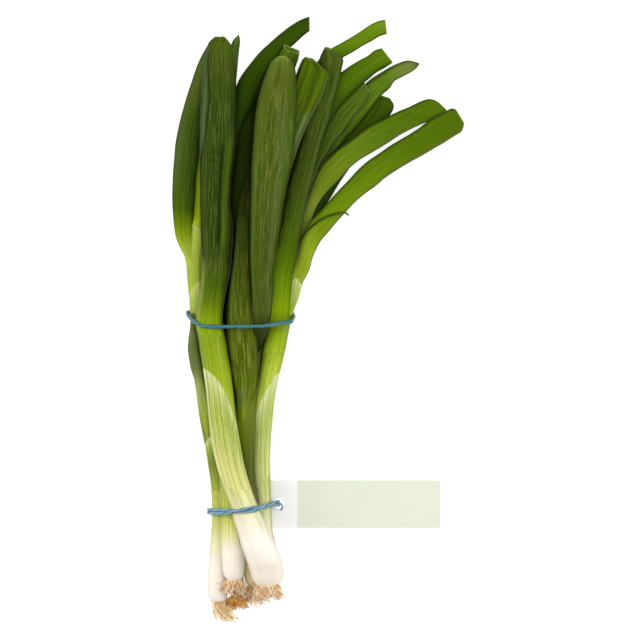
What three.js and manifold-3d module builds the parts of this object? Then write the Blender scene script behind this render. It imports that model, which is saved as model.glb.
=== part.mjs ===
// Spring onion bunch: six onions laid together and held by two elastic bands, with a paper tag.
// Millimetres, +Z up. The bunch lies on its side: +Y runs from the roots to the leaf ends.
// Plan points are written as [x, d]: x to the right, d down from the furthest leaf end to the roots.
import * as THREE from 'three';
import { mergeVertices } from 'three/addons/utils/BufferGeometryUtils.js';
import Module from 'manifold-3d';

const wasm = await Module();
wasm.setup();

// ---------- driving dimensions ----------
const GAP = 0.35; // clearance kept between any two pieces
const PRESS = 0.2; // how far a soft piece flattens where it lies on the surface
const CELL = 0.5; // grid of the pile's height map
const PLAN_X = [82, 238]; // extent of the height map, left to right
const PLAN_D = [0, 318]; // extent of the height map, leaf ends to root tips
const BAND_WIRE = 0.75; // radius of the upper elastic band
const TWIN_WIRE = 0.65; // radius of each strand of the doubled lower band
const TWIN_OFFSET = 0.82; // half the distance between the two strands
const TAG = { left: 126, right: 220.3, top: 240.2, bottom: 264.2, sheet: 0.6, corner: 1.2 };
const TAG_LIFT = 1.7; // height of the tag's stub where the band runs under it
const TAG_HOLE = { x: 139.4, d: 252, r: 2.6 };
const UPPER_BAND = { top: 163, bottom: 156.5 };
const LOWER_BAND = { d: 253, skew: -0.11, twists: 3 };
const SHANK_SIDES = 12;
const LEAF_SIDES = 8;
const STEP_LEAF = 7.5; // distance between the sections of a leaf
const STEP_SHANK = 6; // distance between the sections of a shank

// ---------- colours ----------
const LEAF_DARK = 0x45571a;
const LEAF_MID = 0x557302;
const LEAF_LIGHT = 0x6a831d;
const LEAF_LIME = 0x879c0e;
const SHANK_GREEN = 0xa9ba3a;
const SHANK_PALE = 0xd4d67a;
const ROOT_TAN = 0xcaa072;
const ROOT_BROWN = 0xab7732;
const BAND_BLUE = 0x4c7a7e;
const TWIN_BLUE = 0x5f8fa6;
const TAG_PAPER = 0xe6e9da;

const group = new THREE.Group();

/** A seeded source of numbers from 0 to 1. */
function seeded(seed) {
  let state = seed >>> 0;
  return () => {
    state = (Math.imul(state, 1664525) + 1013904223) >>> 0;
    return state / 4294967296;
  };
}

/** Adds one named mesh of a matt, plant-like material. */
function addPiece(name, geometry, color, roughness = 0.6) {
  const mesh = new THREE.Mesh(geometry, new THREE.MeshStandardMaterial({ color, roughness, metalness: 0 }));
  mesh.name = name;
  group.add(mesh);
  return mesh;
}

/** Plan point and height to model space, with Y pointing to the leaf ends. */
function place(x, d, z) {
  return new THREE.Vector3(x, -d, z);
}

// ---------- the pile: a height map that each new piece is laid on ----------
const columns = Math.ceil((PLAN_X[1] - PLAN_X[0]) / CELL);
const rows = Math.ceil((PLAN_D[1] - PLAN_D[0]) / CELL);
const pile = new Float32Array(columns * rows);

/** Index of the height map's cell under a plan point. */
function cellOf(x, d) {
  const column = Math.floor((x - PLAN_X[0]) / CELL);
  const row = Math.floor((d - PLAN_D[0]) / CELL);
  return row * columns + column;
}

/** Calls visit(x, d, z, first vertex index) over points spread on every triangle of a geometry. */
function spread(geometry, visit) {
  const position = geometry.attributes.position;
  const index = geometry.index;
  const a = new THREE.Vector3();
  const b = new THREE.Vector3();
  const c = new THREE.Vector3();
  for (let i = 0; i < index.count; i += 3) {
    a.fromBufferAttribute(position, index.getX(i));
    b.fromBufferAttribute(position, index.getX(i + 1));
    c.fromBufferAttribute(position, index.getX(i + 2));
    const longest = Math.max(a.distanceTo(b), b.distanceTo(c), c.distanceTo(a));
    const parts = Math.max(2, Math.ceil(longest / (CELL * 0.7)));
    for (let j = 0; j <= parts; j++) {
      for (let k = 0; k <= parts - j; k++) {
        const u = j / parts;
        const v = k / parts;
        const w = 1 - u - v;
        visit(a.x * w + b.x * u + c.x * v, -(a.y * w + b.y * u + c.y * v), a.z * w + b.z * u + c.z * v);
      }
    }
  }
}

/** Raises the pile to the top of a geometry. */
function heap(geometry) {
  spread(geometry, (x, d, z) => {
    const cell = cellOf(x, d);
    if (z > pile[cell]) pile[cell] = z;
  });
}

/** Raises the pile along a band's straight run under the bunch. */
function ridge(xMin, xMax, dAt, halfWidth, height) {
  for (let x = xMin; x <= xMax; x += CELL / 2) {
    for (let w = -halfWidth; w <= halfWidth; w += CELL / 2) {
      const cell = cellOf(x, dAt(x) + w);
      pile[cell] = Math.max(pile[cell], height);
    }
  }
}

// ---------- lofted bodies ----------

/** A closed body through rings of equal count, each end closed by a fan round a middle point. */
function loft(rings) {
  const sides = rings[0].length;
  const points = rings.flat();
  const faces = [];
  for (let i = 0; i + 1 < rings.length; i++) {
    for (let k = 0; k < sides; k++) {
      const a = i * sides + k;
      const b = i * sides + ((k + 1) % sides);
      faces.push(a, a + sides, b, b, a + sides, b + sides);
    }
  }
  const ends = [rings[0], rings[rings.length - 1]];
  ends.forEach((ring, end) => {
    const middle = ring.reduce((sum, p) => sum.add(p), new THREE.Vector3()).divideScalar(sides);
    points.push(middle);
    const first = end === 0 ? 0 : (rings.length - 1) * sides;
    for (let k = 0; k < sides; k++) {
      const pair = [first + k, first + ((k + 1) % sides)];
      if (end === 1) pair.reverse();
      faces.push(points.length - 1, ...pair);
    }
  });
  return outward(points, faces);
}

/** A ring-shaped body: rings joined end to end. */
function hoop(rings) {
  const sides = rings[0].length;
  const faces = [];
  rings.forEach((ring, i) => {
    const next = (i + 1) % rings.length;
    for (let k = 0; k < sides; k++) {
      const turn = (k + 1) % sides;
      faces.push(i * sides + k, next * sides + k, i * sides + turn);
      faces.push(i * sides + turn, next * sides + k, next * sides + turn);
    }
  });
  return outward(rings.flat(), faces);
}

/** Indexed geometry with its faces turned to point out. */
function outward(points, faces) {
  let volume = 0;
  for (let i = 0; i < faces.length; i += 3) {
    const [a, b, c] = [points[faces[i]], points[faces[i + 1]], points[faces[i + 2]]];
    volume += a.dot(new THREE.Vector3().crossVectors(b, c));
  }
  if (volume < 0) faces.reverse();
  const geometry = new THREE.BufferGeometry().setFromPoints(points);
  geometry.setIndex(faces);
  return geometry;
}

/** A geometry as a manifold solid. */
function solid(geometry) {
  const clean = geometry.index ? geometry.clone() : geometry;
  clean.deleteAttribute('normal');
  clean.deleteAttribute('uv');
  const merged = mergeVertices(clean, 1e-4);
  const vertProperties = new Float32Array(merged.attributes.position.array);
  const triVerts = new Uint32Array(merged.index.array);
  return new wasm.Manifold(new wasm.Mesh({ numProp: 3, vertProperties, triVerts }));
}

/** A manifold solid as a geometry. */
function shell(body) {
  const mesh = body.getMesh();
  const geometry = new THREE.BufferGeometry();
  geometry.setAttribute('position', new THREE.BufferAttribute(new Float32Array(mesh.vertProperties), 3));
  geometry.setIndex(Array.from(mesh.triVerts));
  return geometry;
}

/** Sections at even steps through a piece's edge pairs [xLeft, dLeft, xRight, dRight]. */
function sections(edges, step) {
  const left = new THREE.CatmullRomCurve3(edges.map((e) => new THREE.Vector3(e[0], e[1], 0)), false, 'centripetal');
  const right = new THREE.CatmullRomCurve3(edges.map((e) => new THREE.Vector3(e[2], e[3], 0)), false, 'centripetal');
  const spans = edges.slice(1).map((e, i) => {
    const dx = (e[0] + e[2] - edges[i][0] - edges[i][2]) / 2;
    const dd = (e[1] + e[3] - edges[i][1] - edges[i][3]) / 2;
    return Math.hypot(dx, dd);
  });
  const total = spans.reduce((sum, s) => sum + s, 0);
  const list = [];
  let walked = 0;
  spans.forEach((span, i) => {
    const parts = Math.max(1, Math.round(span / step));
    for (let k = 0; k < parts; k++) list.push({ t: (i + k / parts) / spans.length, s: walked + (span * k) / parts });
    walked += span;
  });
  list.push({ t: 1, s: total });
  return { total, marks: list.map((m) => ({ s: m.s, left: left.getPoint(m.t), right: right.getPoint(m.t) })) };
}

/** Outline of one section: a many-sided oval with a flat side under it. */
function ring(mark, height, middle, sides) {
  const half = Math.PI / sides;
  const grow = 1 / Math.cos(half);
  const points = [];
  for (let k = 0; k < sides; k++) {
    const angle = half + 2 * half * k;
    const u = Math.cos(angle) * grow;
    const v = Math.sin(angle) * grow;
    const x = THREE.MathUtils.lerp(mark.left.x, mark.right.x, (1 + u) / 2);
    const d = THREE.MathUtils.lerp(mark.left.y, mark.right.y, (1 + u) / 2);
    points.push(place(x, d, Math.max(0, middle + (height / 2) * v)));
  }
  return points;
}

/** Lays a piece on the pile: its middle line rises over what is below and bends gently. */
function lay(edges, { sides, step, heightOf, stiff }) {
  const { total, marks } = sections(edges, step);
  const heights = marks.map((m) => heightOf(m, m.s / total));
  let middles = heights.map((h) => h / 2 - PRESS);
  const build = () => loft(marks.map((m, i) => ring(m, heights[i], middles[i], sides)));
  /** How far each section must still rise to clear the pile. */
  const shortfall = () => {
    const need = middles.map(() => 0);
    marks.slice(1).forEach((mark, i) => {
      const piece = loft([ring(marks[i], heights[i], middles[i], sides), ring(mark, heights[i + 1], middles[i + 1], sides)]);
      spread(piece, (x, d, z) => {
        const lack = pile[cellOf(x, d)] + GAP - z;
        const under = z < Math.max(middles[i], middles[i + 1]);
        if (pile[cellOf(x, d)] === 0 || !under) return;
        if (lack > need[i]) need[i] = lack;
        if (lack > need[i + 1]) need[i + 1] = lack;
      });
    });
    return need;
  };
  middles = shortfall().map((n, i) => middles[i] + n);
  const near = (i, j) => Math.abs(marks[i].s - marks[j].s) <= stiff;
  const window = (values, merge) => values.map((v, i) => merge(values.filter((w, j) => near(i, j))));
  middles = window(middles, (list) => Math.max(...list));
  middles = window(middles, (list) => list.reduce((sum, v) => sum + v, 0) / list.length);
  for (let turn = 0; turn < 6; turn++) {
    const need = shortfall();
    if (Math.max(...need) <= 0) break;
    middles = middles.map((m, i) => m + need[i]);
  }
  const geometry = build();
  heap(geometry);
  return { geometry, end: { mark: marks[marks.length - 1], middle: middles[middles.length - 1] } };
}

// ---------- shanks: a bulb and the pale stem above it, root end last ----------

/** Lays a shank and returns where its root end is. */
function shank(name, color, edges) {
  const heightOf = (m) => 0.94 * m.left.distanceTo(m.right);
  const { geometry, end } = lay(edges, { sides: SHANK_SIDES, step: STEP_SHANK, heightOf, stiff: 9 });
  addPiece(name, geometry, color, 0.45);
  const { left, right } = end.mark;
  return { x: (left.x + right.x) / 2, d: (left.y + right.y) / 2, z: end.middle, r: left.distanceTo(right) / 2 };
}

// ---------- leaves: flattened tubes, cut end first and sheath end last ----------

/** Lays a leaf; its height runs from flat in the blade to round at the sheath. */
function leaf(name, color, edges, { flat = 0.3, round = 0.55, stiff = 16, sides = LEAF_SIDES } = {}) {
  const heightOf = (m, s) => {
    const ease = THREE.MathUtils.smoothstep(s, 0.6, 1);
    return Math.max(1, m.left.distanceTo(m.right) * THREE.MathUtils.lerp(flat, round, ease));
  };
  const { geometry } = lay(edges, { sides, step: STEP_LEAF, heightOf, stiff });
  addPiece(name, geometry, color);
}

// ---------- root tufts: a basal plate with strands fused to it ----------

/** A three-sided tapering strand along a bent line. */
function strand(points, thick, thin) {
  const curve = new THREE.CatmullRomCurve3(points);
  const steps = 3;
  const frames = curve.computeFrenetFrames(steps, false);
  const rings = [];
  for (let i = 0; i <= steps; i++) {
    const middle = curve.getPointAt(i / steps);
    const r = THREE.MathUtils.lerp(thick, thin, i / steps);
    const corner = (k) => {
      const angle = (2 * Math.PI * k) / 3;
      const side = frames.normals[i].clone().multiplyScalar(r * Math.cos(angle));
      return middle.clone().add(side).addScaledVector(frames.binormals[i], r * Math.sin(angle));
    };
    rings.push([0, 1, 2].map(corner));
  }
  return loft(rings);
}

/** A tuft of roots at a bulb's end, swept by (dx, dd) and lying on what is below it. */
function tuft(name, color, root, { sweep, strands = 9, seed, spreadBy = 0.8 }) {
  const random = seeded(seed);
  const plateHeight = 1.6;
  const plateRadius = root.r * 0.92;
  const plate = new THREE.CylinderGeometry(plateRadius, plateRadius * 0.72, plateHeight, 10);
  const plateStart = root.d + GAP;
  plate.translate(root.x, -(plateStart + plateHeight / 2), root.z);
  let body = solid(plate);
  const reach = Math.hypot(...sweep);
  for (let i = 0; i < strands; i++) {
    const angle = 2 * Math.PI * ((i * 0.618) % 1);
    const out = plateRadius * 0.8 * Math.sqrt((i + 0.5) / strands);
    const length = 0.6 + 0.45 * random();
    const points = [0, 0.34, 0.68, 1].map((t) => {
      const fan = out * (1 + spreadBy * t * 1.5) + (random() - 0.5) * 0.8 * t;
      const x = root.x + Math.cos(angle) * fan + sweep[0] * length * t * t;
      const d = plateStart + 0.6 + sweep[1] * length * t + 0.3 * t * reach * (random() - 0.5) * 0.3;
      const z = root.z + Math.sin(angle) * fan - 1.2 * t * t;
      const lowest = Math.max(pile[cellOf(x, d)] + GAP + 0.75, 0.75);
      return place(x, d, Math.max(z, lowest));
    });
    body = body.add(solid(strand(points, 0.58, 0.4)));
  }
  const geometry = shell(body);
  heap(geometry);
  addPiece(name, geometry, color, 0.8);
}

// ---------- the tag: a paper strip whose stub lies between the bunch and the band ----------

/** Height of the sheet's underside along the tag. */
function tagHeight(x) {
  return TAG_LIFT * (1 - THREE.MathUtils.smoothstep(x, 142, 156));
}

function makeTag() {
  const xs = [TAG.left, 140, 142, 144.5, 147, 149.5, 152, 154, 156, TAG.right];
  const profile = new THREE.Shape();
  xs.forEach((x, i) => (i ? profile.lineTo(x, tagHeight(x)) : profile.moveTo(x, tagHeight(x))));
  xs.reverse().forEach((x) => profile.lineTo(x, tagHeight(x) + TAG.sheet));
  const width = TAG.bottom - TAG.top;
  const strip = new THREE.ExtrudeGeometry(profile, { depth: width, bevelEnabled: false });
  strip.rotateX(Math.PI / 2);
  strip.translate(0, -TAG.top, 0);
  const outline = new THREE.Shape();
  const r = TAG.corner;
  const { left, right, top, bottom } = TAG;
  outline.moveTo(left, -top);
  outline.lineTo(right - r, -top);
  outline.quadraticCurveTo(right, -top, right, -top - r);
  outline.lineTo(right, -bottom + r);
  outline.quadraticCurveTo(right, -bottom, right - r, -bottom);
  outline.lineTo(left, -bottom);
  const cutter = new THREE.ExtrudeGeometry(outline, { depth: 20, bevelEnabled: false, curveSegments: 4 });
  cutter.translate(0, 0, -5);
  const punch = new THREE.CylinderGeometry(TAG_HOLE.r, TAG_HOLE.r, 20, 16);
  punch.rotateX(Math.PI / 2);
  punch.translate(TAG_HOLE.x, -TAG_HOLE.d, 0);
  const geometry = shell(solid(strip).intersect(solid(cutter)).subtract(solid(punch)));
  heap(geometry);
  addPiece('paper_tag', geometry, TAG_PAPER, 0.7);
}

// ---------- elastic bands: closed loops drawn tight round the bunch ----------

/** Points where the pieces cross a leaning plane, as [x, z]. */
function slice(plane, margins) {
  const found = [];
  group.children.forEach((mesh) => {
    const { position } = mesh.geometry.attributes;
    const { index } = mesh.geometry;
    for (let i = 0; i < index.count; i += 3) {
      for (let k = 0; k < 3; k++) {
        const a = new THREE.Vector3().fromBufferAttribute(position, index.getX(i + k));
        const b = new THREE.Vector3().fromBufferAttribute(position, index.getX(i + ((k + 1) % 3)));
        for (const margin of margins) {
          const fa = -a.y - plane(a.x, a.z) - margin;
          const fb = -b.y - plane(b.x, b.z) - margin;
          if (fa * fb >= 0) continue;
          const hit = a.clone().lerp(b, fa / (fa - fb));
          found.push([hit.x, hit.z]);
        }
      }
    }
  });
  return found;
}

/** Convex outline of plan points, anticlockwise. */
function convex(points) {
  const sorted = [...points].sort((a, b) => a[0] - b[0] || a[1] - b[1]);
  const cross = (o, a, b) => (a[0] - o[0]) * (b[1] - o[1]) - (a[1] - o[1]) * (b[0] - o[0]);
  const half = (list) => {
    const chain = [];
    for (const p of list) {
      while (chain.length > 1 && cross(chain[chain.length - 2], chain[chain.length - 1], p) <= 1e-9) chain.pop();
      chain.push(p);
    }
    chain.pop();
    return chain;
  };
  return [...half(sorted), ...half(sorted.reverse())];
}

/** The outline moved out by a distance, with round corners, as count even points. */
function around(outline, distance, count) {
  const path = [];
  outline.forEach((p, i) => {
    const before = outline[(i + outline.length - 1) % outline.length];
    const after = outline[(i + 1) % outline.length];
    const from = Math.atan2(-(p[0] - before[0]), p[1] - before[1]);
    let to = Math.atan2(-(after[0] - p[0]), after[1] - p[1]);
    while (to < from) to += 2 * Math.PI;
    const parts = Math.max(1, Math.ceil((to - from) / 0.15));
    for (let k = 0; k <= parts; k++) {
      const angle = THREE.MathUtils.lerp(from, to, k / parts);
      path.push(new THREE.Vector3(p[0] + distance * Math.cos(angle), p[1] + distance * Math.sin(angle), 0));
    }
  });
  const loop = new THREE.CurvePath();
  path.forEach((p, i) => loop.add(new THREE.LineCurve3(p, path[(i + 1) % path.length])));
  return loop.getSpacedPoints(count).slice(0, count);
}

/** Ring of the band's own section at a path point, square to its direction. */
function wireRing(middle, along, radius, sides) {
  const side = new THREE.Vector3(0, 1, 0);
  side.addScaledVector(along, -side.dot(along)).normalize();
  const up = new THREE.Vector3().crossVectors(along, side);
  const points = [];
  for (let k = 0; k < sides; k++) {
    const angle = (2 * Math.PI * k) / sides;
    const offset = side.clone().multiplyScalar(radius * Math.cos(angle)).addScaledVector(up, radius * Math.sin(angle));
    points.push(middle.clone().add(offset));
  }
  return points;
}

/** Rings along a closed path of points. */
function wireRings(path, radius, sides) {
  return path.map((p, i) => {
    const before = path[(i + path.length - 1) % path.length];
    const after = path[(i + 1) % path.length];
    return wireRing(p, after.clone().sub(before).normalize(), radius, sides);
  });
}


/** The single upper band round everything it crosses; it leans back under the bunch. */
function makeUpperBand() {
  const top = Math.max(...slice(() => UPPER_BAND.top, [0]).map((p) => p[1]));
  const plane = (x, z) => THREE.MathUtils.lerp(UPPER_BAND.bottom, UPPER_BAND.top, z / top);
  const points = slice(plane, [-1.6, -0.8, 0, 0.8, 1.6]);
  const path = around(convex(points), BAND_WIRE + GAP, 52);
  const route = path.map((p) => place(p.x, plane(p.x, p.y), Math.max(p.y, BAND_WIRE)));
  addPiece('elastic_band_upper', hoop(wireRings(route, BAND_WIRE, 6)), BAND_BLUE, 0.5);
}

/** The lower band, wound twice: its two strands twist over the bunch and lie flat under it. */
function makeLowerBand() {
  const { d, skew, twists } = LOWER_BAND;
  const plane = (x) => d + skew * (x - 120);
  const reach = TWIN_OFFSET + TWIN_WIRE;
  const points = slice(plane, [-2, -1, 0, 1, 2]).filter((p) => p[1] > TAG_LIFT + TAG.sheet);
  points.push([TAG_HOLE.x - reach, TAG_LIFT], [106, TAG_LIFT]);
  const count = 56;
  const path = around(convex(points), reach + GAP, count);
  const lowest = path.reduce((best, p, i) => (p.y < path[best].y - 0.01 ? i : best), 0);
  const route = [];
  for (let i = 0; i < 2 * count; i++) {
    const p = path[(lowest + i) % count];
    const before = path[(lowest + i + count - 1) % count];
    const after = path[(lowest + i + 1) % count];
    const away = new THREE.Vector3(after.y - before.y, before.x - after.x, 0).normalize();
    const lap = i / count;
    const turn = Math.floor(lap) + twists * THREE.MathUtils.smoothstep(lap % 1, 0.28, 0.8);
    const flat = TWIN_OFFSET * Math.cos(Math.PI * turn);
    const lift = TWIN_OFFSET * Math.sin(Math.PI * turn);
    const z = Math.max(p.y, TWIN_WIRE) + away.y * lift;
    route.push(place(p.x + away.x * lift, plane(p.x) + flat, z));
  }
  addPiece('elastic_band_lower', hoop(wireRings(route, TWIN_WIRE, 5)), TWIN_BLUE, 0.5);
}

// ---------- the pile, from the surface up ----------
ridge(90, 149, () => UPPER_BAND.bottom, 2, 2 * BAND_WIRE);
ridge(104, 141, (x) => LOWER_BAND.d + LOWER_BAND.skew * (x - 120), 2.2, TAG_LIFT);
makeTag();

// Lowest shanks, on the surface.
const rootC = shank('onion_left_shank', SHANK_GREEN, [
  [95.6, 113, 103.5, 114.5], [94.9, 120, 103.6, 120], [94, 126, 103.2, 126], [93.1, 132, 102.8, 132],
  [93.4, 140, 102.8, 140], [94.4, 150, 103.4, 150], [95.1, 163, 103.8, 163], [95.5, 178, 104.2, 178],
  [97.8, 195, 106.4, 195], [99.8, 210, 108.4, 210], [101.9, 221, 110.4, 221], [104, 233, 112.4, 233],
  [105.7, 247, 114, 247], [105.9, 260, 114.2, 260], [104.8, 273, 114, 273], [104, 285, 113.8, 285],
  [103.8, 294, 113.8, 294], [104.2, 298.2, 113.4, 298.6], [105.4, 300.4, 112.6, 300.9],
]);
tuft('onion_left_roots', ROOT_TAN, rootC, { sweep: [4.5, 11], strands: 9, seed: 3 });
const rootF = shank('onion_middle_shank', SHANK_PALE, [
  [112.8, 164, 119.8, 164], [113.6, 180, 120.8, 180], [115, 200, 121.6, 200], [115.6, 217, 121.8, 217],
  [115.6, 235, 121.6, 235], [115, 248, 121, 248], [114.6, 262, 121, 262], [114.5, 276, 121.8, 276],
  [114.5, 290, 121.8, 290], [114.9, 295.5, 121.4, 295.5], [115.9, 298.2, 120.5, 298.2],
]);
tuft('onion_middle_roots', ROOT_BROWN, rootF, { sweep: [1, 7.5], strands: 9, seed: 11 });
const rootB = shank('onion_back_shank', SHANK_GREEN, [
  [139.2, 140.3, 151.3, 141.9], [138.2, 148, 149.6, 148.4], [136, 156, 146, 156], [134.2, 163.3, 144.6, 163.3],
  [132.2, 170, 143.6, 170], [131, 175, 142.7, 175], [130, 180, 141.6, 180], [128.3, 190, 139.2, 190],
  [127, 200, 137.4, 200], [126, 210, 136.4, 210], [125.7, 220, 135.5, 220], [125.9, 232, 135.2, 232],
  [127, 241, 135.3, 241], [128.3, 250, 135.6, 250], [128.6, 258, 135.9, 258], [129.2, 265, 136.4, 265],
  [130.2, 273, 138.3, 273], [131.2, 280, 140, 280], [131.4, 286, 140, 286], [132.4, 289.4, 139.4, 289.4],
  [133.8, 291.2, 138.2, 291.2],
]);
tuft('onion_back_roots', ROOT_TAN, rootB, { sweep: [1.5, 7.5], strands: 10, seed: 59 });
const rootE = shank('onion_rim_shank', SHANK_PALE, [
  [121.4, 164, 131.4, 164], [121.8, 172, 130.4, 172], [121.8, 180, 128.8, 180], [120.4, 190, 127.4, 190],
  [118.6, 200, 126, 200], [118, 210, 125.9, 210], [118.8, 222, 126, 222], [120.2, 236, 127, 236],
  [121.8, 248, 127.7, 248], [122, 258, 127.6, 258], [122.2, 267, 128.2, 267], [122, 275, 129.4, 275],
  [121.9, 283, 130.2, 283], [122.4, 289.5, 130, 289.5], [124, 292.6, 129, 292.6],
]);
tuft('onion_rim_roots', ROOT_TAN, rootE, { sweep: [1.5, 12], strands: 10, seed: 31 });
const rootD = shank('onion_short_shank', SHANK_PALE, [
  [104.4, 163.4, 112.2, 163.4], [104.8, 176, 112.8, 176], [107, 195, 114.9, 195], [108.9, 210, 116.2, 210],
  [109.6, 222, 117.4, 222], [109.6, 235, 118.4, 235], [110, 248, 119.6, 248], [110.5, 258, 120.4, 258],
  [110.4, 268, 121.4, 268], [110.8, 278, 122.5, 278], [111.2, 285, 122.3, 285], [112.2, 288.4, 121.6, 288.4],
  [113.8, 290.2, 120.4, 290.2],
]);
tuft('onion_short_roots', ROOT_TAN, rootD, { sweep: [1, 7], strands: 10, seed: 47 });

// Leaves of the left onion.
leaf('leaf_lime_inner', LEAF_LIME, [
  [100.6, 60, 103.2, 60], [98.4, 78, 103.2, 78], [97.5, 92, 103, 92], [96.8, 101, 102.8, 101],
  [96.2, 108, 102.6, 108.5], [96, 112.2, 102.4, 113.4],
]);
leaf('leaf_left_outer', LEAF_DARK, [
  [105.2, 20.4, 108.4, 21.8], [104, 22, 108.2, 23.6], [99.5, 30, 107, 32], [95.9, 40, 105, 41],
  [92.7, 50, 103, 51], [89.9, 60, 101.4, 60.5], [87.9, 70, 100.4, 70], [86.9, 80, 99, 80],
  [86, 95, 96.9, 95], [86.4, 107, 95.8, 107], [87.9, 117, 94.6, 116.4], [89.5, 122.5, 93.9, 122],
  [91, 127.5, 93.2, 127.2], [92, 131.6, 93, 131.4],
]);
leaf('leaf_left_small', LEAF_DARK, [
  [95.6, 157, 97, 157], [94.9, 164, 97.3, 164], [94.1, 170, 98.6, 170], [93.8, 175, 99.3, 175],
  [94.5, 180, 100.2, 180], [95.6, 185, 101, 185], [97.5, 191, 101.8, 191], [98.9, 198, 102.4, 198],
  [100.2, 205, 102.8, 205], [101.2, 211, 102.6, 211],
], { flat: 0.34, round: 0.4, stiff: 8 });

// Long leaves to the upper right, lowest first.
leaf('leaf_dark_middle', LEAF_DARK, [
  [129.6, 31.5, 136.4, 31.5], [126, 37, 136.6, 37], [122.6, 44, 133.6, 44], [119.6, 52, 130.6, 52],
  [117.5, 62, 129.2, 62], [116.6, 76, 128.4, 76], [115.8, 90, 127.4, 90], [114.8, 105, 126, 105],
  [113.4, 122, 124, 122], [111.8, 142, 121.4, 142], [110.8, 162.8, 118.6, 162.8],
]);
leaf('leaf_right_dark', LEAF_DARK, [
  [187.2, 46.6, 195, 49], [185.6, 47.4, 197, 52.4], [182.6, 52, 195.4, 57], [179, 57.5, 190.6, 63.2],
  [174, 64, 184, 70.5], [169, 71, 178, 77.5], [163.5, 80, 171.5, 85], [158.5, 90, 166, 93.5],
  [154, 102, 160.4, 104], [149.6, 118, 155, 119], [146, 139.5, 149.2, 140.6],
]);
leaf('leaf_right_tip', LEAF_MID, [
  [208.6, 31, 209.6, 32.4], [204, 30.1, 207, 35.2], [200, 31.3, 202, 38], [195, 33.5, 197.5, 40.5],
  [190, 36.5, 195, 44], [185, 39.8, 190.5, 48], [180.5, 44, 187, 52], [175.5, 50, 182.4, 58],
  [171, 56.5, 178, 63.5], [166, 64, 172.6, 69.5], [160.5, 74, 166.6, 78], [155.5, 86, 161, 88.5],
  [151, 100, 156, 101.5], [146.5, 118, 151, 119], [142, 139.4, 145.4, 139.9],
]);
leaf('leaf_right_back', LEAF_DARK, [
  [173.6, 84.6, 174.4, 84.8], [169, 88, 171, 89.6], [165, 92, 168, 94.4], [161, 97, 165, 99.4],
  [158, 101.6, 161.8, 104], [155.4, 106, 158.8, 108.6], [152.6, 112, 156.4, 115], [150.4, 118, 154.4, 121.4],
  [148.9, 126, 152.6, 128.6], [147.4, 138, 149.8, 139.3],
]);
leaf('leaf_right_long', LEAF_MID, [
  [219, 50.7, 223.5, 55], [217, 49.7, 222.6, 56.2], [214, 49.4, 220.8, 57.6], [209.8, 50.9, 215.4, 60.2],
  [204.9, 53.3, 210.2, 62.4], [199.9, 55.3, 205.2, 64.7], [193.9, 58.3, 199.7, 67.7], [189.9, 60.3, 195.2, 70.7],
  [184.9, 62.8, 190.2, 73.7], [179.9, 66.3, 185.2, 76.7], [174.9, 70.3, 180.2, 79.7], [169.9, 73.8, 176.2, 82.7],
  [164.9, 78.3, 172.7, 86.2], [161, 82.5, 168.2, 91.2], [158, 88, 163.7, 95.7], [155.4, 95, 160, 100.5],
  [152.8, 103, 157, 106.5], [150, 114, 154, 115.6], [147.4, 126, 150.6, 127], [144.6, 139.4, 147.6, 139.9],
]);
leaf('leaf_right_lowest', LEAF_MID, [
  [228, 54.6, 232.2, 61.6], [226.2, 54.1, 231.8, 64], [223.5, 55.3, 230.6, 66], [220, 57.3, 227.6, 67.9],
  [215, 59.8, 222.8, 71], [210, 63.6, 217.9, 73.8], [205, 66.8, 213.2, 76.5], [200, 69.8, 208.3, 79.2],
  [195, 72.8, 203.4, 82], [190, 76.3, 198.4, 85], [184, 80.3, 192.8, 88.8], [179, 84.8, 188, 93],
  [174.5, 89.8, 182.2, 97.2], [170, 94.6, 177.5, 101.2], [165.5, 99.4, 172.5, 106.7], [162, 103.4, 168, 111.6],
  [158.5, 107, 164, 116.5], [155.5, 110.5, 160.5, 120.5], [152.5, 115, 158, 125], [150.5, 120, 156.2, 129.5],
  [149, 126, 154.9, 134.3], [147.4, 133, 153.4, 138.2], [145.4, 139, 151.8, 140.6],
]);
leaf('leaf_right_curl', LEAF_DARK, [
  [173.8, 107.8, 174.6, 107.2], [172, 106.8, 172.4, 105.8], [168, 107.4, 167.8, 106.4],
  [164.2, 108.6, 163.8, 107.6], [160.3, 110.6, 159.7, 109.7], [156.9, 113.1, 156.2, 112.3],
  [153.5, 116.4, 152.7, 115.8], [150.7, 120.7, 149.8, 120.3],
], { flat: 0.8, round: 0.8, stiff: 10 });
leaf('leaf_upper_pointed', LEAF_DARK, [
  [181.5, 40.2, 185, 45.8], [178.5, 43.5, 183.2, 50], [176, 46, 180.5, 53.5], [172.5, 49.5, 177, 57.5],
  [169.5, 52.5, 174, 61.5], [167, 56, 171, 66], [164, 61.5, 167.5, 70], [160.5, 68, 164.5, 74.5],
  [157, 75, 161, 79.8], [153.5, 84, 158, 87], [149.5, 97, 154, 99], [145.5, 116, 150, 117],
  [141.5, 139.4, 145, 139.8],
]);
leaf('leaf_upper_low', LEAF_MID, [
  [190.8, 24, 196.4, 31.2], [187.2, 25.2, 192.2, 34], [184, 27.8, 188.2, 36.2], [180, 29.8, 184.8, 39],
  [175, 32.8, 181, 42.2], [171, 35.8, 177.5, 45.6], [166.5, 39.8, 173.5, 49.6], [163, 44.8, 169.8, 53.6],
  [159, 52, 166, 59.6], [155, 60, 161.6, 66], [151, 72, 156.6, 75], [147, 88, 152, 89],
  [142.6, 110, 147, 110], [138.6, 135, 142.4, 135], [136, 156, 139.6, 156],
]);
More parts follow.
